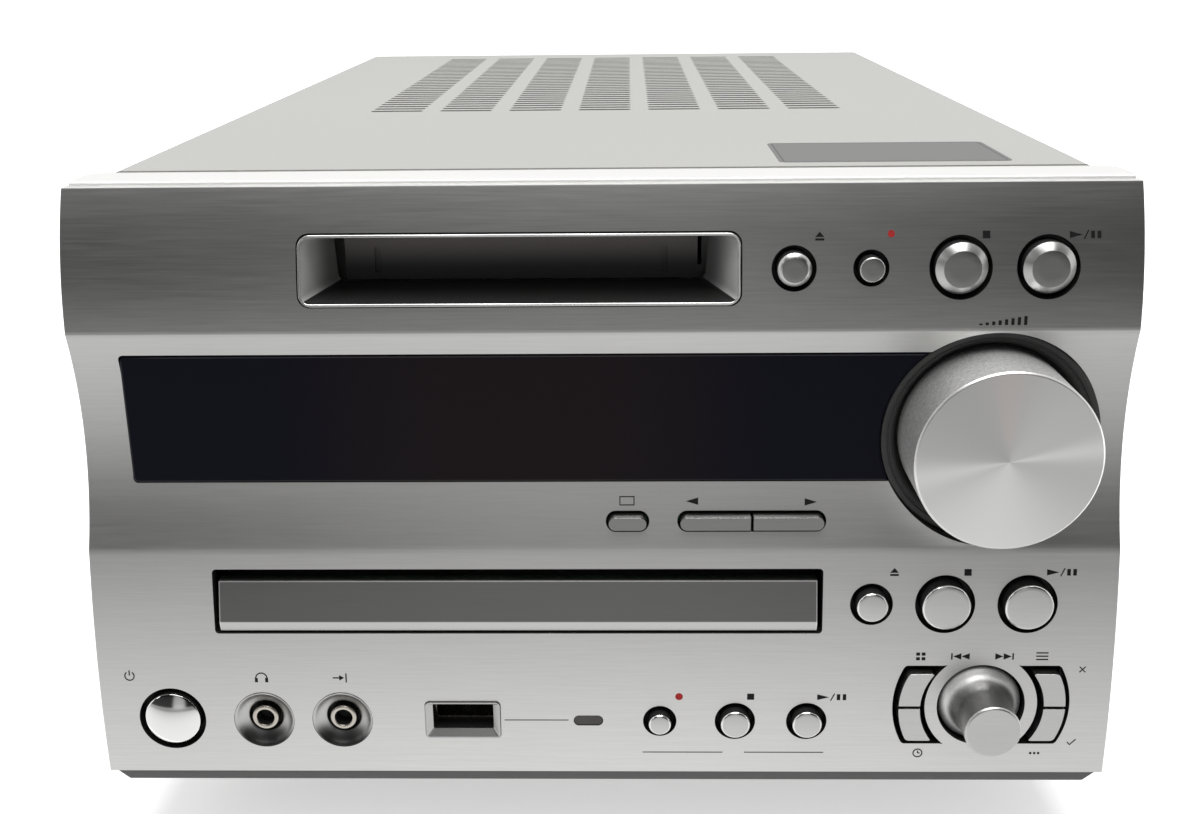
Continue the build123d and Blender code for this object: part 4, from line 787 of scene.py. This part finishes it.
knob = turned(axis_at(volume_place), [
    (15.9, -2.4), (17.3, -2.4), (knob_r, -2.8), (knob_r, -19.6), (17.36, -19.9), (17.25, knob_face),
    (14.0, -19.93), (9.0, -19.86), (3.0, -19.83), (0.3, -19.83),
], sides=144)
soften(knob, 0.06, segments=2, corner=30.0)
mount(
    knob, "volume_cap", "volume", "knob_metal", surface("knob_spun", metal, paint_spun), "volume_knob"
)
ring = turned(axis_at(volume_place), [
    (21.3, 1.4), (21.3, -5.35), (21.0, -5.45), (20.4, -5.3), (20.1, -5.0), (20.0, -4.5), (19.75, -4.4),
    (19.5, -4.6), (18.9, -4.2), (18.4, -3.2), (18.1, -2.2), (17.6, -1.7), (9.4, -1.6), (9.35, 1.3),
], sides=144)
soften(ring, 0.06, segments=1, corner=35.0)
dish = grained("dish_dark", dull, 2000.0, (0.03, 0.012), (0.36, 0.1), bump=(0.1, 0.03))
mount(ring, "volume_dish", "case", "ring_plastic", dish, "volume_ring")


# Round buttons: turned aluminium caps, bevelled beside the cartridge slot and domed elsewhere.
# Each has a flange behind the fascia and a stem on its switch, and the power button is chromed.
turning_marks = (120.0, 500.0, 1600.0)
button_satin = grained(
    "button_satin", metal, turning_marks, (0.55, 0.08), (0.25, 0.1), bump=(0.08, 0.03), detail=3.0
)
button_inlay = grained("button_inlay", metal, turning_marks, (0.25, 0.05), (0.3, 0.1), detail=3.0)
button_record = grained("button_record", {"Metallic": 0.9}, 1500.0, (0.55, 0.06), (0.26, 0.1))
button_chrome = grained("button_chrome", metal, 40.0, (0.84, 0.03), (0.025, 0.03), detail=3.0)
cap_proud, stem_end = 1.8, 4.6
bevelled_gap, domed_gap, flange_set = 1.0, 1.15, 3.6
bevelled_tops = {"md_eject": 2.35, "md_rec": 2.12, "md_stop": 3.5, "md_play": 3.5}
for name, (place, hole_r) in round_holes.items():
    node = f"{name}_button"
    if node not in nodes:
        continue
    top_r = bevelled_tops.get(name)
    cap_r = hole_r - (bevelled_gap if top_r else domed_gap)
    tip = skin(place[1]) - cap_proud
    flange = skin(place[1]) + flange_set
    profile = [
        (1.5, stem_end), (1.5, flange + 1.2), (hole_r + 1.1, flange + 1.2), (hole_r + 1.1, flange),
        (cap_r, flange),
    ]
    if top_r:
        profile += [(cap_r, tip + 0.8 * (cap_r - top_r)), (top_r, tip), (0.4 * cap_r, tip)]
    elif name == "power":
        profile += dome(cap_r, tip + 1.7, 1.7, steps=16)
    else:
        profile += [(cap_r, tip + 0.3), *dome(cap_r - 0.28, tip, 0.18, steps=6)]
    cap = turned(axis_at(place), profile, sides=72)
    soften(cap, 0.06, segments=1, corner=20.0)
    slot = {"md_rec": "button_dark", "power": "button_chrome"}.get(name, "button_metal")
    look = {"md_rec": button_record, "power": button_chrome}.get(name, button_satin)
    mount(cap, f"{name}_cap", node, slot, look, node)
    shaded_y = spot(0, tip + 2.2, 0).y
    second_finish(cap, black_plastic, lambda centre, normal: centre.y > shaded_y)
    if top_r:
        second_finish(cap, button_inlay, lambda centre, normal: centre.y < spot(0, tip + 0.02, 0).y)
    elif name != "power":
        second_finish(
            cap, button_inlay, lambda centre, normal: abs(normal.y) < 0.3 and centre.y < shaded_y)
        second_finish(cap, button_polished, lambda centre, normal: (
            0.3 < abs(normal.y) < 0.93 and centre.y < spot(0, tip + 0.4, 0).y))


# Pill buttons: two pale metal bars under the window, the longer one split in two halves.
# Each bar has a polished bevel round a satin face, and reaches back to its switch.
pill_half, pill_tip = 1.35, skin(pill_z) - 1.7
pill_bars = {
    "display_button": (1.68, 9.12, (1.68, 9.12)), "input_left_button": (15.88, 29.73, (15.88,)),
    "input_right_button": (30.33, 44.18, (44.18,)),
}
for node, (low, high, round_ends) in pill_bars.items():
    bar = rounded(spot(low, pill_tip, pill_z - pill_half), spot(high, stem_end, pill_z + pill_half), 0)
    bpy.ops.object.mode_set(mode="EDIT")
    pick(bar, "edges", lambda ends: abs(ends[0].y - ends[1].y) > mm and any(
        abs(ends[0].x - x * mm) < 0.1 * mm for x in round_ends))
    bevel(pill_half, 10)
    close(bar)
    soften(bar, 0.34, segments=1, corner=60.0)
    mount(bar, node.replace("button", "bar"), node, "button_metal", button_inlay, node)
    second_finish(bar, button_polished, lambda centre, normal: 0.3 < abs(normal.y) < 0.95)


# Selector: a slim turned knob on a flared skirt, with four satin quarters of a ring round it.
# The knob slides on the square end of its shaft, and each quarter presses a switch of its own.
arc_gap, arc_tip = 1.1, skin(jog_place[1]) - 1.0
jog = turned(axis_at(jog_place), [
    (6.0, -10.6), (8.3, -10.6), (8.3, -12.0), (7.9, -12.5), (7.0, -13.1), (6.35, -13.8), (5.9, -14.8),
    (5.55, -16.0), (5.35, -17.2), (5.4, -20.0), (5.56, -23.5), (5.2, -24.0), (4.7, -23.9), (0.3, -23.85),
])
soften(jog, 0.15, segments=2, corner=30.0)


def paint_jog(place):
    distance, _ = around(place, jog_place)
    skirt = distance.step(6.0, 6.8)
    grain = place.noise(1500.0, roughness=0.8)
    return {
        "Base Color": grey(0.56 + skirt * 0.34 + (grain - 0.5) * 0.3),
        "Roughness": 0.34 + skirt * 0.12,
        "Normal": grain.bump(0.2, 0.04),
    }


mount(jog, "jog_cap", "selector_knob", "knob_metal", surface("jog_blasted", metal, paint_jog), "jog_knob")
second_finish(jog, button_satin, lambda centre, normal: centre.y < spot(0, -23.8, 0).y)
for node, rise, start in (
    ("group_button", 1, pi / 2), ("timer_button", -1, pi), ("menu_button", 1, 0.0),
    ("mode_button", -1, 1.5 * pi),
):
    arc = ring_part(
        jog_place, arc_inner + arc_gap, arc_outer - arc_gap, start, start + pi / 2, (arc_tip, stem_end)
    )
    outer_edge = jog_place[1] + rise * (arc_half - arc_gap)
    trim(arc, spot(0, 0, outer_edge), (0, 0, rise))
    trim(arc, spot(0, 0, jog_place[1] + rise * 0.3), (0, 0, -rise))
    round_corners(arc, 0.6, [outer_edge])
    soften(close(arc), 0.5, segments=1, corner=50.0)
    mount(arc, node.replace("button", "quarter"), node, "button_metal", button_satin, node)


# Tray front: a satin aluminium bar that closes the disc opening, with a wide polished bevel along its lower
# edge and a fine one round the rest, both painted lighter as painted highlights. It is screwed to the end of
# the disc tray.
door_bevel, bevel_height = 0.65, 2.1
tray_low, tray_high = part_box("tray_front")
door = block(tray_low, tray_high)
pick(door, "verts", lambda points: points[0].z > tray_high.z - mm and points[0].y < tray_low.y + mm)
bpy.ops.transform.translate(value=(0, 2.4 * mm, 0))
pick(door, "edges", lambda ends: all(
    p.z < tray_low.z + 1e-6 and p.y < tray_low.y + 1e-6 for p in ends))
bevel(door_bevel, 1)
pick(door, "verts", lambda points: (
    abs(points[0].z - tray_low.z - door_bevel * mm) < 0.1 * mm and points[0].y < tray_low.y + mm))
bpy.ops.transform.translate(value=(0, 0.15 * mm, (bevel_height - door_bevel) * mm))
close(door)
soften(door, 0.18, segments=2, corner=20.0)


def paint_door(place):
    # The lower bevel and a fine band along the sides and top are painted lighter: painted highlights.
    bevel_highlight = 1.0 - ((place.axis("Z") - tray_low.z) / mm).step(2.1, 2.2)
    off_middle = abs(place.axis("X") - (tray_low.x + tray_high.x) / 2)
    from_side = ((tray_high.x - tray_low.x) / 2 - off_middle) / mm
    from_top = (tray_high.z - place.axis("Z")) / mm
    edge = 1.0 - from_side.math("MINIMUM", from_top).step(0.2, 0.34)
    shade = (0.25 + bevel_highlight * 0.35).math("MAXIMUM", edge * 0.8)
    colour, streaks = brushed(place, shade, 0.14)
    return {
        "Base Color": grey(colour),
        "Roughness": 0.3 + streaks * 0.1,
        "Normal": streaks.bump(0.1, 0.04),
    }


mount(door, "tray_door", "tray", "tray_metal", surface("door_satin", metal, paint_door), "tray_front")


# Front jacks: two dished satin surrounds, each with a plain nickel ferrule in its middle.
# Each ferrule stands on a wider collar, which is soldered to the front board.
def paint_bowl(place):
    grain = place.noise(1400.0)
    shaded = ((place.axis("Z") - spot(0, 0, jack_z).z) / mm).step(-5.2, -0.5)
    return {
        "Base Color": grey((0.5 + grain * 0.08) * (0.12 + shaded * 0.88)),
        "Roughness": 0.3 + grain * 0.08,
    }


nickel = grained("jack_nickel", metal, 700.0, ((0.55, 0.51, 0.45), (0.66, 0.62, 0.56)), (0.2, 0.12))
bowl_satin = surface("bowl_satin", metal, paint_bowl)
jack_rim = skin(jack_z)
jack_axes = [axis_at(round_holes[name][0]) for name in ("headphone", "line_in")]
for name, look, stands_for, sides, bore_r, bore_start, profile in (
    ("jack_dish", bowl_satin, "jack_bowls", 72, 3.62, 1.78, [
        (6.15, 3.9), (6.15, 0.0), (5.95, 0.0), (5.5, 0.52), (5.0, 0.98), (4.4, 1.38), (3.8, 1.65),
        (3.5, 1.8), (3.5, 3.8), (3.45, 3.85),
    ]),
    ("jack_body", nickel, "front_jacks", 64, 1.8, 0.9, [
        (5.5, 9.0 - jack_rim), (5.5, 4.3), (2.7, 4.3), (2.7, 1.05), (2.5, 0.85), (1.95, 0.85),
        (1.75, 1.05), (1.75, 13.0),
    ]),
):
    rims = [(radius, jack_rim + depth) for radius, depth in profile]
    pair = join(*[turned(axis, rims, sides) for axis in jack_axes])
    soften(pair, 0.08, segments=1, corner=25.0)
    mount(pair, name, "case", "jack_metal", look, stands_for)
    second_finish(pair, black_plastic, lambda centre, normal: (
        centre.y > spot(0, jack_rim + bore_start, 0).y
        and min(hypot(centre.x - axis.x, centre.z - axis.z) for axis in jack_axes) < bore_r * mm))


# USB socket: a silver-painted surround with soft edges, clipped into the fascia round a steel shell.
# The shell and its back get the black finish as painted shade, with two spring dimples, and only its lower
# wall and front edge keep the nickel, where light falls.
usb_rim = skin(-107.2) - 0.3
port_low, port_high = (-34.6, -109.5), (-22.2, -103.8)
surround = rounded(spot(-36.05, usb_rim, -111.3), spot(-20.75, -8.7, -103.1), 0.9, segments=5)
scoop = rounded(
    spot(port_low[0], usb_rim - 0.02, port_low[1]), spot(port_high[0], usb_rim + 0.95, port_high[1]),
    0.35, segments=5,
)
bpy.ops.object.mode_set(mode="EDIT")
pick(scoop, "verts", lambda points: points[0].y < spot(0, usb_rim + 0.1, 0).y)
stretch((1.19, 1, 1.34), spot(-28.4, 0, -105.1))
close(scoop)
port = rounded(
    spot(port_low[0], -20, port_low[1]), spot(port_high[0], 0, port_high[1]), 0.35, segments=3
)
cut(surround, scoop, port)
soften(surround, 0.16, segments=2, corner=20.0)
silver_paint = grained(
    "silver_paint", {"Metallic": 0.9}, 2400.0, (0.46, 0.06), (0.16, 0.1), bump=(0.06, 0.02), detail=3.0
)
mount(surround, "usb_surround", "case", "black_plastic", silver_paint, "usb_bezel")
second_finish(surround, black_plastic, lambda centre, normal: (
    centre.y > spot(0, usb_rim + 1.15, 0).y and spot(-34.8, 0, 0).x < centre.x < spot(-22.0, 0, 0).x
    and spot(0, 0, -109.6).z < centre.z < spot(0, 0, -103.5).z))
shell = rounded(spot(-34.9, -8.6, -109.85), spot(-21.5, 9.0, -103.15), 0.4, segments=3)
cut(shell, rounded(spot(-34.3, -12, -109.2), spot(-22.1, -2.0, -103.8), 0.2, segments=2))
tongue = rounded(spot(-33.6, -7.9, -105.6), spot(-22.8, 0.0, -104.2), 0)
dimples = [turned(spot(x, 0, -107.4), dome(0.7, -1.9, 0.6, steps=5), sides=24) for x in (-30.6, -25.8)]
join(shell, tongue, *dimples)
soften(shell, 0.08, segments=1, corner=50.0)
# The steel shell gets the black finish as painted shade, and nickel only on its lower wall and front edge.
mount(shell, "usb_shell", "case", "shaft_steel", black_plastic, "usb_socket")
second_finish(shell, nickel, lambda centre, normal: (
    normal.z > 0.9 and centre.z < spot(0, 0, -109).z or centre.y < spot(0, -8.5, 0).y))


# Feet: four turned rubber-faced feet, stepped in a little towards the floor.
# They are screwed into the chassis and ride on it as one piece.
foot_profile = [
    (14.0, 0.0), (15.5, 0.0), (16.2, 0.6), (16.4, 2.0), (17.3, 2.4), (17.5, 3.2), (17.5, 13.0),
    (17.0, 14.0), (8.0, 14.0),
]
feet = join(*[
    turned(spot(x, depth, -138.0), foot_profile, sides=72, upright=True)
    for x in (-76.0, 76.0) for depth in (46.0, 284.0)
])
soften(feet, 0.2, segments=2, corner=30.0)
rubber = grained("foot_rubber", {}, 1200.0, (0.03, 0.015), (0.6, 0.15), bump=(0.2, 0.05), detail=3.0)
mount(feet, "rubber_feet", "case", "foot_rubber", rubber, "feet")


# Rear fittings: fluted terminal caps that turn on their posts, nickel sleeves with coloured ends on
# the phono sockets, and a threaded nickel barrel on the aerial socket.
cap_reds, cap_blacks, socket_white = [
    grained(name, {}, 900.0, tones, (0.28, 0.1)) for name, tones in (
        ("cap_red", ((0.5, 0.012, 0.012), (0.6, 0.02, 0.018))),
        ("cap_black", ((0.014, 0.014, 0.014), (0.024, 0.024, 0.023))),
        ("socket_white", ((0.78, 0.78, 0.75), (0.84, 0.84, 0.81))),
    )
]
cap_pitch, flute_turn = 15.0, 5.0
cap_axis = spot(-70.5, 0, -36.0)
fluted = turned(cap_axis, [
    (2.2, 323.6), (5.0, 323.6), (5.5, 324.1), (5.5, 332.6), (5.1, 333.3), (4.0, 333.6), (3.7, 334.0),
    (0.5, 334.0),
], sides=72)
bpy.ops.object.mode_set(mode="EDIT")


def in_flute(points):
    """Whether a vertex lies on the cap's outside in two of every four steps round it."""
    across, height = points[0].x - cap_axis.x, points[0].z - cap_axis.z
    turn = round(degrees(atan2(height, across)) / flute_turn)
    return hypot(across, height) > 5.3 * mm and turn % 4 in (0, 1)


pick(fluted, "verts", in_flute)
stretch((0.92, 1, 0.92), cap_axis)
close(fluted)
soften(fluted, 0.1, segments=2, corner=30.0)
caps = [fluted]
for number in (1, 2, 3):
    caps.append(bpy.data.objects.new("cap", fluted.data.copy()))
    scene.collection.objects.link(caps[-1])
    caps[-1].data.transform(Matrix.Translation(Vector((cap_pitch * number * mm, 0, 0))))
for number, cap in enumerate(caps, start=1):
    colour, finish = (("cap_red", cap_reds), ("cap_black", cap_blacks))[(number + 1) % 2]
    node = f"speaker_cap_{number}"
    mount(cap, f"terminal_cap_{number}", node, colour, finish, node)
sleeves = []
for number, (height, finish, slot) in enumerate(
    ((-86.0, socket_white, "frame_plastic"), (-100.0, cap_reds, "cap_red")), start=1
):
    sleeves.append(turned(spot(30.0, 0, height), [
        (4.21, 317.3), (6.2, 317.3), (6.2, 318.1), (4.5, 318.1), (4.5, 326.2), (4.3, 326.5), (3.6, 326.5),
        (3.6, 325.9), (4.2, 325.9),
    ], sides=64))
    end = turned(spot(30.0, 0, height), [
        (1.75, 326.0), (3.55, 326.0), (3.55, 326.9), (3.3, 327.0), (1.9, 327.0), (1.75, 326.9),
    ], sides=48)
    soften(end, 0.08, segments=1)
    mount(end, f"phono_end_{number}", "case", slot, finish)
soften(join(*sleeves), 0.08, segments=1)
mount(sleeves[0], "phono_sleeves", "case", "jack_metal", nickel)
thread = [(4.72, 317.3), (7.0, 317.3), (7.0, 318.3)]
for turn in range(14):
    thread += [(4.8, 318.5 + turn * 0.55), (5.15, 318.75 + turn * 0.55)]
thread += [(4.8, 326.3), (4.6, 326.8), (3.9, 326.8), (3.9, 326.5), (4.6, 326.5)]
barrel = turned(spot(38.0, 0, -33.0), thread, sides=72)
soften(barrel, 0.04, segments=1, corner=60.0)
mount(barrel, "aerial_barrel", "case", "jack_metal", nickel)


# Printed marks: thin black and red ink on the fascia beside its controls, with fine lines between
# the buttons. Signs stand beside the controls, and each mark follows the curve of the panel.
ink_marks = {"black": [], "red": []}


def ink(corners, colour="black"):
    """Thin mark with these corners, in millimetres across and up, laid on the fascia's skin."""
    mark = begin("circle", vertices=len(corners), radius=mm, fill_type="NGON", rotation=(pi / 2, 0, 0))
    inward = mark.matrix_world.inverted()
    for vertex, (x, z) in zip(bmesh.from_edit_mesh(mark.data).verts, corners):
        vertex.co = inward @ spot(x, skin(z) - 0.03, z)
    extrude((0, 0.06 * mm, 0))
    ink_marks[colour].append(close(mark))


def ink_bar(x, z, width, height):
    ink([(x + i * width / 2, z + j * height / 2) for i, j in ((-1, -1), (1, -1), (1, 1), (-1, 1))])


def ink_line(x, z, end_x, end_z, width=0.22):
    length = hypot(end_x - x, end_z - z)
    across = ((z - end_z) / length * width / 2, (end_x - x) / length * width / 2)
    ends = ((x, z, 1), (x, z, -1), (end_x, end_z, -1), (end_x, end_z, 1))
    ink([(a + side * across[0], b + side * across[1]) for a, b, side in ends])


def ink_arc(x, z, radius, start, end, width=0.24):
    turns = [radians(start + (end - start) * i / 18) for i in range(19)]
    sides = ((radius + width / 2, turns), (radius - width / 2, turns[::-1]))
    ink([(x + r * cos(t), z + r * sin(t)) for r, side in sides for t in side])


def ink_dot(x, z, radius, colour="black"):
    ink([(x + radius * cos(i * pi / 12), z + radius * sin(i * pi / 12)) for i in range(24)], colour)


def ink_arrow(x, z, width, height):
    """Triangle that points right, or left if its width is negative."""
    ink([(x - width / 2, z - height / 2), (x + width / 2, z), (x - width / 2, z + height / 2)])


for x, z in ((41.8, -9.4), (58.3, -75.6)):
    ink([(x - 0.85, z - 0.15), (x + 0.85, z - 0.15), (x, z + 0.8)])
    ink_bar(x, z - 0.6, 1.7, 0.38)
for x, z in ((73.0, -9.3), (72.8, -75.7), (30.2, -101.9)):
    ink_bar(x, z, 1.42, 1.35)
for x, z in ((91.5, -9.4), (91.3, -75.7), (46.6, -102.0)):
    ink_arrow(x - 1.75, z, 2.4, 1.25)
    ink_line(x - 0.25, z - 0.8, x + 0.55, z + 0.8)
    for shift in (1.35, 2.55):
        ink_bar(x + shift, z, 0.7, 1.3)
for x, z, hand in ((72.1, -93.1, -1), (80.7, -93.1, 1)):
    ink_bar(x + hand * 1.8, z, 0.3, 1.35)
    for shift in (-0.95, 0.72):
        ink_arrow(x + hand * shift, z, hand * 1.6, 1.35)
ink_arrow(18.2, -62.0, -2.45, 1.4)
ink_arrow(41.75, -62.2, 2.45, 1.4)
ink_dot(55.2, -9.05, 0.67, "red")
ink_dot(15.7, -101.9, 0.77, "red")
for low, high, z in ((-19.9, -6.8, -107.2), (8.3, 24.7, -114.6), (29.1, 45.3, -114.6)):
    ink_bar((low + high) / 2, z, high - low, 0.18)
ink_arc(-96.2, -97.4, 0.95, 125, 415)
ink_bar(-96.2, -96.75, 0.24, 1.1)
ink_arc(-69.2, -97.9, 1.15, 0, 180)
for side in (-1, 1):
    ink_bar(-69.2 + side * 1.05, -98.3, 0.6, 0.95)
    ink_bar(5.3 + side * 1.4, -61.9, 0.2, 1.7)
    ink_bar(5.3, -61.9 + side * 0.8, 3.0, 0.2)
ink_line(-54.6, -97.8, -53.2, -97.8, 0.26)
ink_arrow(-52.8, -97.8, 1.0, 1.2)
ink_bar(-51.9, -97.8, 0.26, 2.0)
for step in range(8):
    ink_bar(72.4 + step * 1.2, -26.0 + (0.3 + step * 0.2) / 2, 0.6, 0.3 + step * 0.2)
for i in (-1, 1):
    for j in (-1, 1):
        ink_bar(64.1 + i * 0.55, -93.1 + j * 0.5, 0.75, 0.65)
for step in (-1, 0, 1):
    ink_bar(88.3, -93.05 + step * 0.7, 2.4, 0.26)
    ink_dot(88.3 + step * 0.8, -114.7, 0.26)
for ends in (
    (95.9, -96.5, 97.1, -95.3), (95.9, -95.3, 97.1, -96.5), (94.7, -112.1, 95.25, -112.7),
    (95.2, -112.75, 96.4, -111.45), (64.55, -114.7, 64.55, -114.15), (64.5, -114.7, 65.0, -114.7),
):
    ink_line(*ends)
for start in (0, 180):
    ink_arc(64.55, -114.7, 0.9, start, start + 180)
for colour, slot, tones in (
    ("black", "black_plastic", ((0.008, 0.008, 0.008), (0.016, 0.016, 0.016))),
    ("red", "cap_red", ((0.26, 0.018, 0.018), (0.34, 0.026, 0.024))),
):
    finish = grained(f"ink_{colour}", {"Specular IOR Level": 0.08}, 3000.0, tones, (0.5, 0.2))
    mount(join(*ink_marks[colour]), f"marks_{colour}", "case", slot, finish)


# Carried-over pieces: what the CAD gives its right shape keeps it, and gets its real finish here.
# Steel, moulded plastic, circuit board and acrylic each have a finish of their own.
def paint_steel(place):
    crystals = place.node("TexVoronoi", {}, {"Vector": place, "Scale": 420.0}, out=1)
    flakes = crystals.axis("X")
    return {"Base Color": grey(0.4 + flakes * 0.07), "Roughness": 0.38 + flakes * 0.1}


def paint_board(place):
    tracks = place.node(
        "TexBrick", {"offset": 0.5}, {
            "Vector": place, "Color1": (0.005, 0.032, 0.014, 1), "Color2": (0.007, 0.04, 0.017, 1),
            "Mortar": (0.012, 0.07, 0.028, 1), "Scale": 190.0, "Mortar Size": 0.03,
        })
    return {"Base Color": tracks, "Roughness": 0.3 + place.noise(400.0) * 0.2}


def paint_window(place):
    # The middle of the window is painted a warmer tone: a painted reflection in the acrylic.
    across = (place.axis("X") / mm + 15.0) / 50.0
    middle = 1.0 - (across * across).step(0.0, 1.0)
    return {
        "Base Color": middle.mix((0.004, 0.004, 0.008), (0.009, 0.0065, 0.0078)),
        "Roughness": 0.06 + place.noise(900.0) * 0.03,
    }


def paint_flap(place):
    grain = place.noise(1600.0)
    shaded = above_edge(place).step(-18.5, -12.0) * (0.85 + grain * 0.15)
    return {
        "Base Color": shaded.mix((0.012, 0.011, 0.014), (0.14, 0.12, 0.112)),
        "Roughness": 0.4 + grain * 0.1,
    }


def paint_core(place):
    plates = (place.axis("Z") * 2200.0).math("SINE")
    wound = abs((place.axis("Y") - spot(0, 253.6, 0).y) / mm).math("GREATER_THAN", 17.1)
    return {
        "Base Color": wound.mix((0.08, 0.075, 0.07), (0.55, 0.36, 0.05)),
        "Roughness": 0.4 + plates * 0.06,
        "Normal": plates.bump(0.3, 0.1),
    }


cream = grained("cream_plastic", {}, 1200.0, ((0.62, 0.6, 0.52), (0.7, 0.68, 0.6)), (0.38, 0.1))
tray_black = grained("tray_plastic", {}, 1500.0, (0.028, 0.012), (0.34, 0.14), bump=(0.1, 0.03))
lamp_lens = grained(
    "lamp_lens", {}, 500.0, ((0.035, 0.032, 0.032), (0.055, 0.048, 0.046)), (0.14, 0.05)
)
steel = surface("galvanised_steel", {"Metallic": 0.9}, paint_steel)
board = surface("circuit_board", {"Specular IOR Level": 0.15}, paint_board)
carried = {
    "display_window": surface("window_acrylic", {"Specular IOR Level": 0.06}, paint_window),
    "md_slot_flap": surface("flap_plastic", {}, paint_flap),
    "transformer": surface("transformer_core", {"Metallic": 0.3}, paint_core),
    "disc_tray": tray_black, "usb_lamp": lamp_lens, "heat_sink": screw_metal,
    **dict.fromkeys(("front_board", "main_board"), board),
    **dict.fromkeys(("loading_gear", "pickup_sled", "clamp_puck"), cream),
    **dict.fromkeys((
        "mains_inlet", "loader_frame", "speaker_terminals", "phono_jacks", "aerial_terminals", "turntable",
    ), black_plastic),
}
for name, node in nodes.items():
    node.data.materials.clear()
    node.data.materials.append(carried.get(name, steel))


# Studio: a pale floor under a white sky, a hood of tones that only gloss sees, soft light from
# above and in front, and the camera where the photograph was taken from.
def seen_rays(tree):
    """1 for the rays of the camera, gloss and glass, and 0 for the light that falls on matte faces."""
    path = tree.nodes.new("ShaderNodeLightPath")
    camera_ray, gloss_ray, glass_ray = [
        Wire(tree, path.outputs[f"Is {kind} Ray"]) for kind in ("Camera", "Glossy", "Transmission")
    ]
    return camera_ray + gloss_ray + glass_ray


def paint_floor(place):
    """The camera, gloss and glass see the matte floor lighter, most of all far off."""
    far = place.node("VectorMath", {"operation": "LENGTH"}, {0: place}, out=1).step(0.25, 1.2)
    return {"Emission Strength": seen_rays(place.tree) * (0.5 + far * 0.5)}


floor = close(begin("plane", size=14.0, location=(0, 0, 0)))
floor.name = "floor"
floor.data.materials.append(surface("floor_white", {
    "Base Color": (0.86, 0.86, 0.86, 1.0), "Roughness": 0.9, "Specular IOR Level": 0.0,
    "Emission Color": (1.0, 1.0, 1.0, 1.0),
}, paint_floor))
floor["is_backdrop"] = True

room_half, room_low = 3.6, 0.002
room_profile = [
    (-0.17, room_low), (-1.3, room_low), (-1.5, 0.2), (-1.5, 0.75), (-1.3, 1.25), (-0.85, 1.6),
    (-0.55, 1.68),
]
room = begin("plane", size=2 * room_half, location=(0, room_profile[0][0] - room_half, room_low))
pick(room, "verts", lambda points: points[0].y < -room_half)
bpy.ops.mesh.delete(type="VERT")
pick_all()
for (y, z), (next_y, next_z) in zip(room_profile, room_profile[1:]):
    extrude((0, next_y - y, next_z - z))
close(room)
room.name = "dark_room"
dark = bpy.data.materials.new("dark_room")
dark.use_nodes = True
tree = dark.node_tree
tree.nodes.remove(tree.nodes["Principled BSDF"])
place = object_place(tree)
falloff = place.node(
    "ValToRGB", {"stops": [
        (0.0, 0.28), (0.1, 0.31), (0.46, 0.35), (0.62, 0.45), (0.85, 0.64), (0.91, 0.74), (1.0, 0.95),
    ]}, {0: (place.axis("Y") + 1.3) / 1.13})
fan = place.axis("X") / (1.0 - (place.axis("Y") + 0.155) / 0.265)
wall = place.axis("Z")
middle = 1.0 - abs(fan).step(0.0, 0.11)
middle_light = middle * (0.08 + wall.step(0.0, 0.25) * 0.25)
side_shade = abs(fan).step(0.035, 0.075) * wall.step(0.1, 0.25)
right_shade = fan.step(0.05, 0.1) * wall.step(0.1, 0.35) * 0.1
level = falloff.node("SeparateColor", {}, {0: falloff}) + middle_light - right_shade - fan * 0.3
level = level * (1.0 - wall.step(0.1, 0.5) * 0.26) * (1.0 - wall.step(0.5, 0.7) * 0.12)
level = level * (1.0 - wall.step(0.65, 1.05) * (0.88 - middle * 0.7)) * (1.0 - side_shade * 0.85)
level = level.math("MAXIMUM", 0.0)
glow = tree.nodes.new("ShaderNodeEmission")
tree.links.new(level.node("CombineColor", {}, {0: level, 1: level, 2: level}).socket, glow.inputs["Color"])
tree.links.new(glow.outputs[0], tree.nodes["Material Output"].inputs["Surface"])
room.data.materials.append(dark)
for ray in ("camera", "diffuse", "shadow", "transmission"):
    setattr(room, f"visible_{ray}", False)
room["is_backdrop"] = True

world = bpy.data.worlds.new("studio")
scene.world = world
world.use_nodes = True
tree = world.node_tree
tree.nodes["Background"].inputs["Color"].default_value = (1.0, 1.0, 1.0, 1.0)
tree.links.new((0.5 + seen_rays(tree) * 0.5).socket, tree.nodes["Background"].inputs["Strength"])

for name, place, aim, size, power in (
    ("overhead", (0.0, -0.45, 1.7), (0.0, 0.0, 0.1), 1.3, 25.0),
    ("front_left", (-1.7, -1.2, 1.5), (0.0, -0.15, 0.08), 1.2, 6.0),
):
    light = bpy.data.lights.new(name, "AREA")
    light.size = size
    light.energy = power
    lamp = bpy.data.objects.new(name, light)
    scene.collection.objects.link(lamp)
    lamp.location = place
    lamp.rotation_euler = (Vector(aim) - Vector(place)).to_track_quat("-Z", "Y").to_euler()

camera_data = bpy.data.cameras.new("camera")
camera_data.lens = 42.0
camera_data.sensor_width = 36.0
camera = bpy.data.objects.new("camera", camera_data)
scene.collection.objects.link(camera)
scene.camera = camera
right = Vector((0.9998, 0.0195, -0.0103))
forward = Vector((-0.0217, 0.9493, -0.3136)).normalized()
right = (right - forward * right.dot(forward)).normalized()
up = right.cross(forward)
camera.matrix_world = Matrix.Translation(spot(6.05, -264.84, 43.11)) @ Matrix(
    [[right[i], up[i], -forward[i]] for i in range(3)]
).to_4x4()
scene.view_settings.view_transform = "Standard"

low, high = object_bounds()
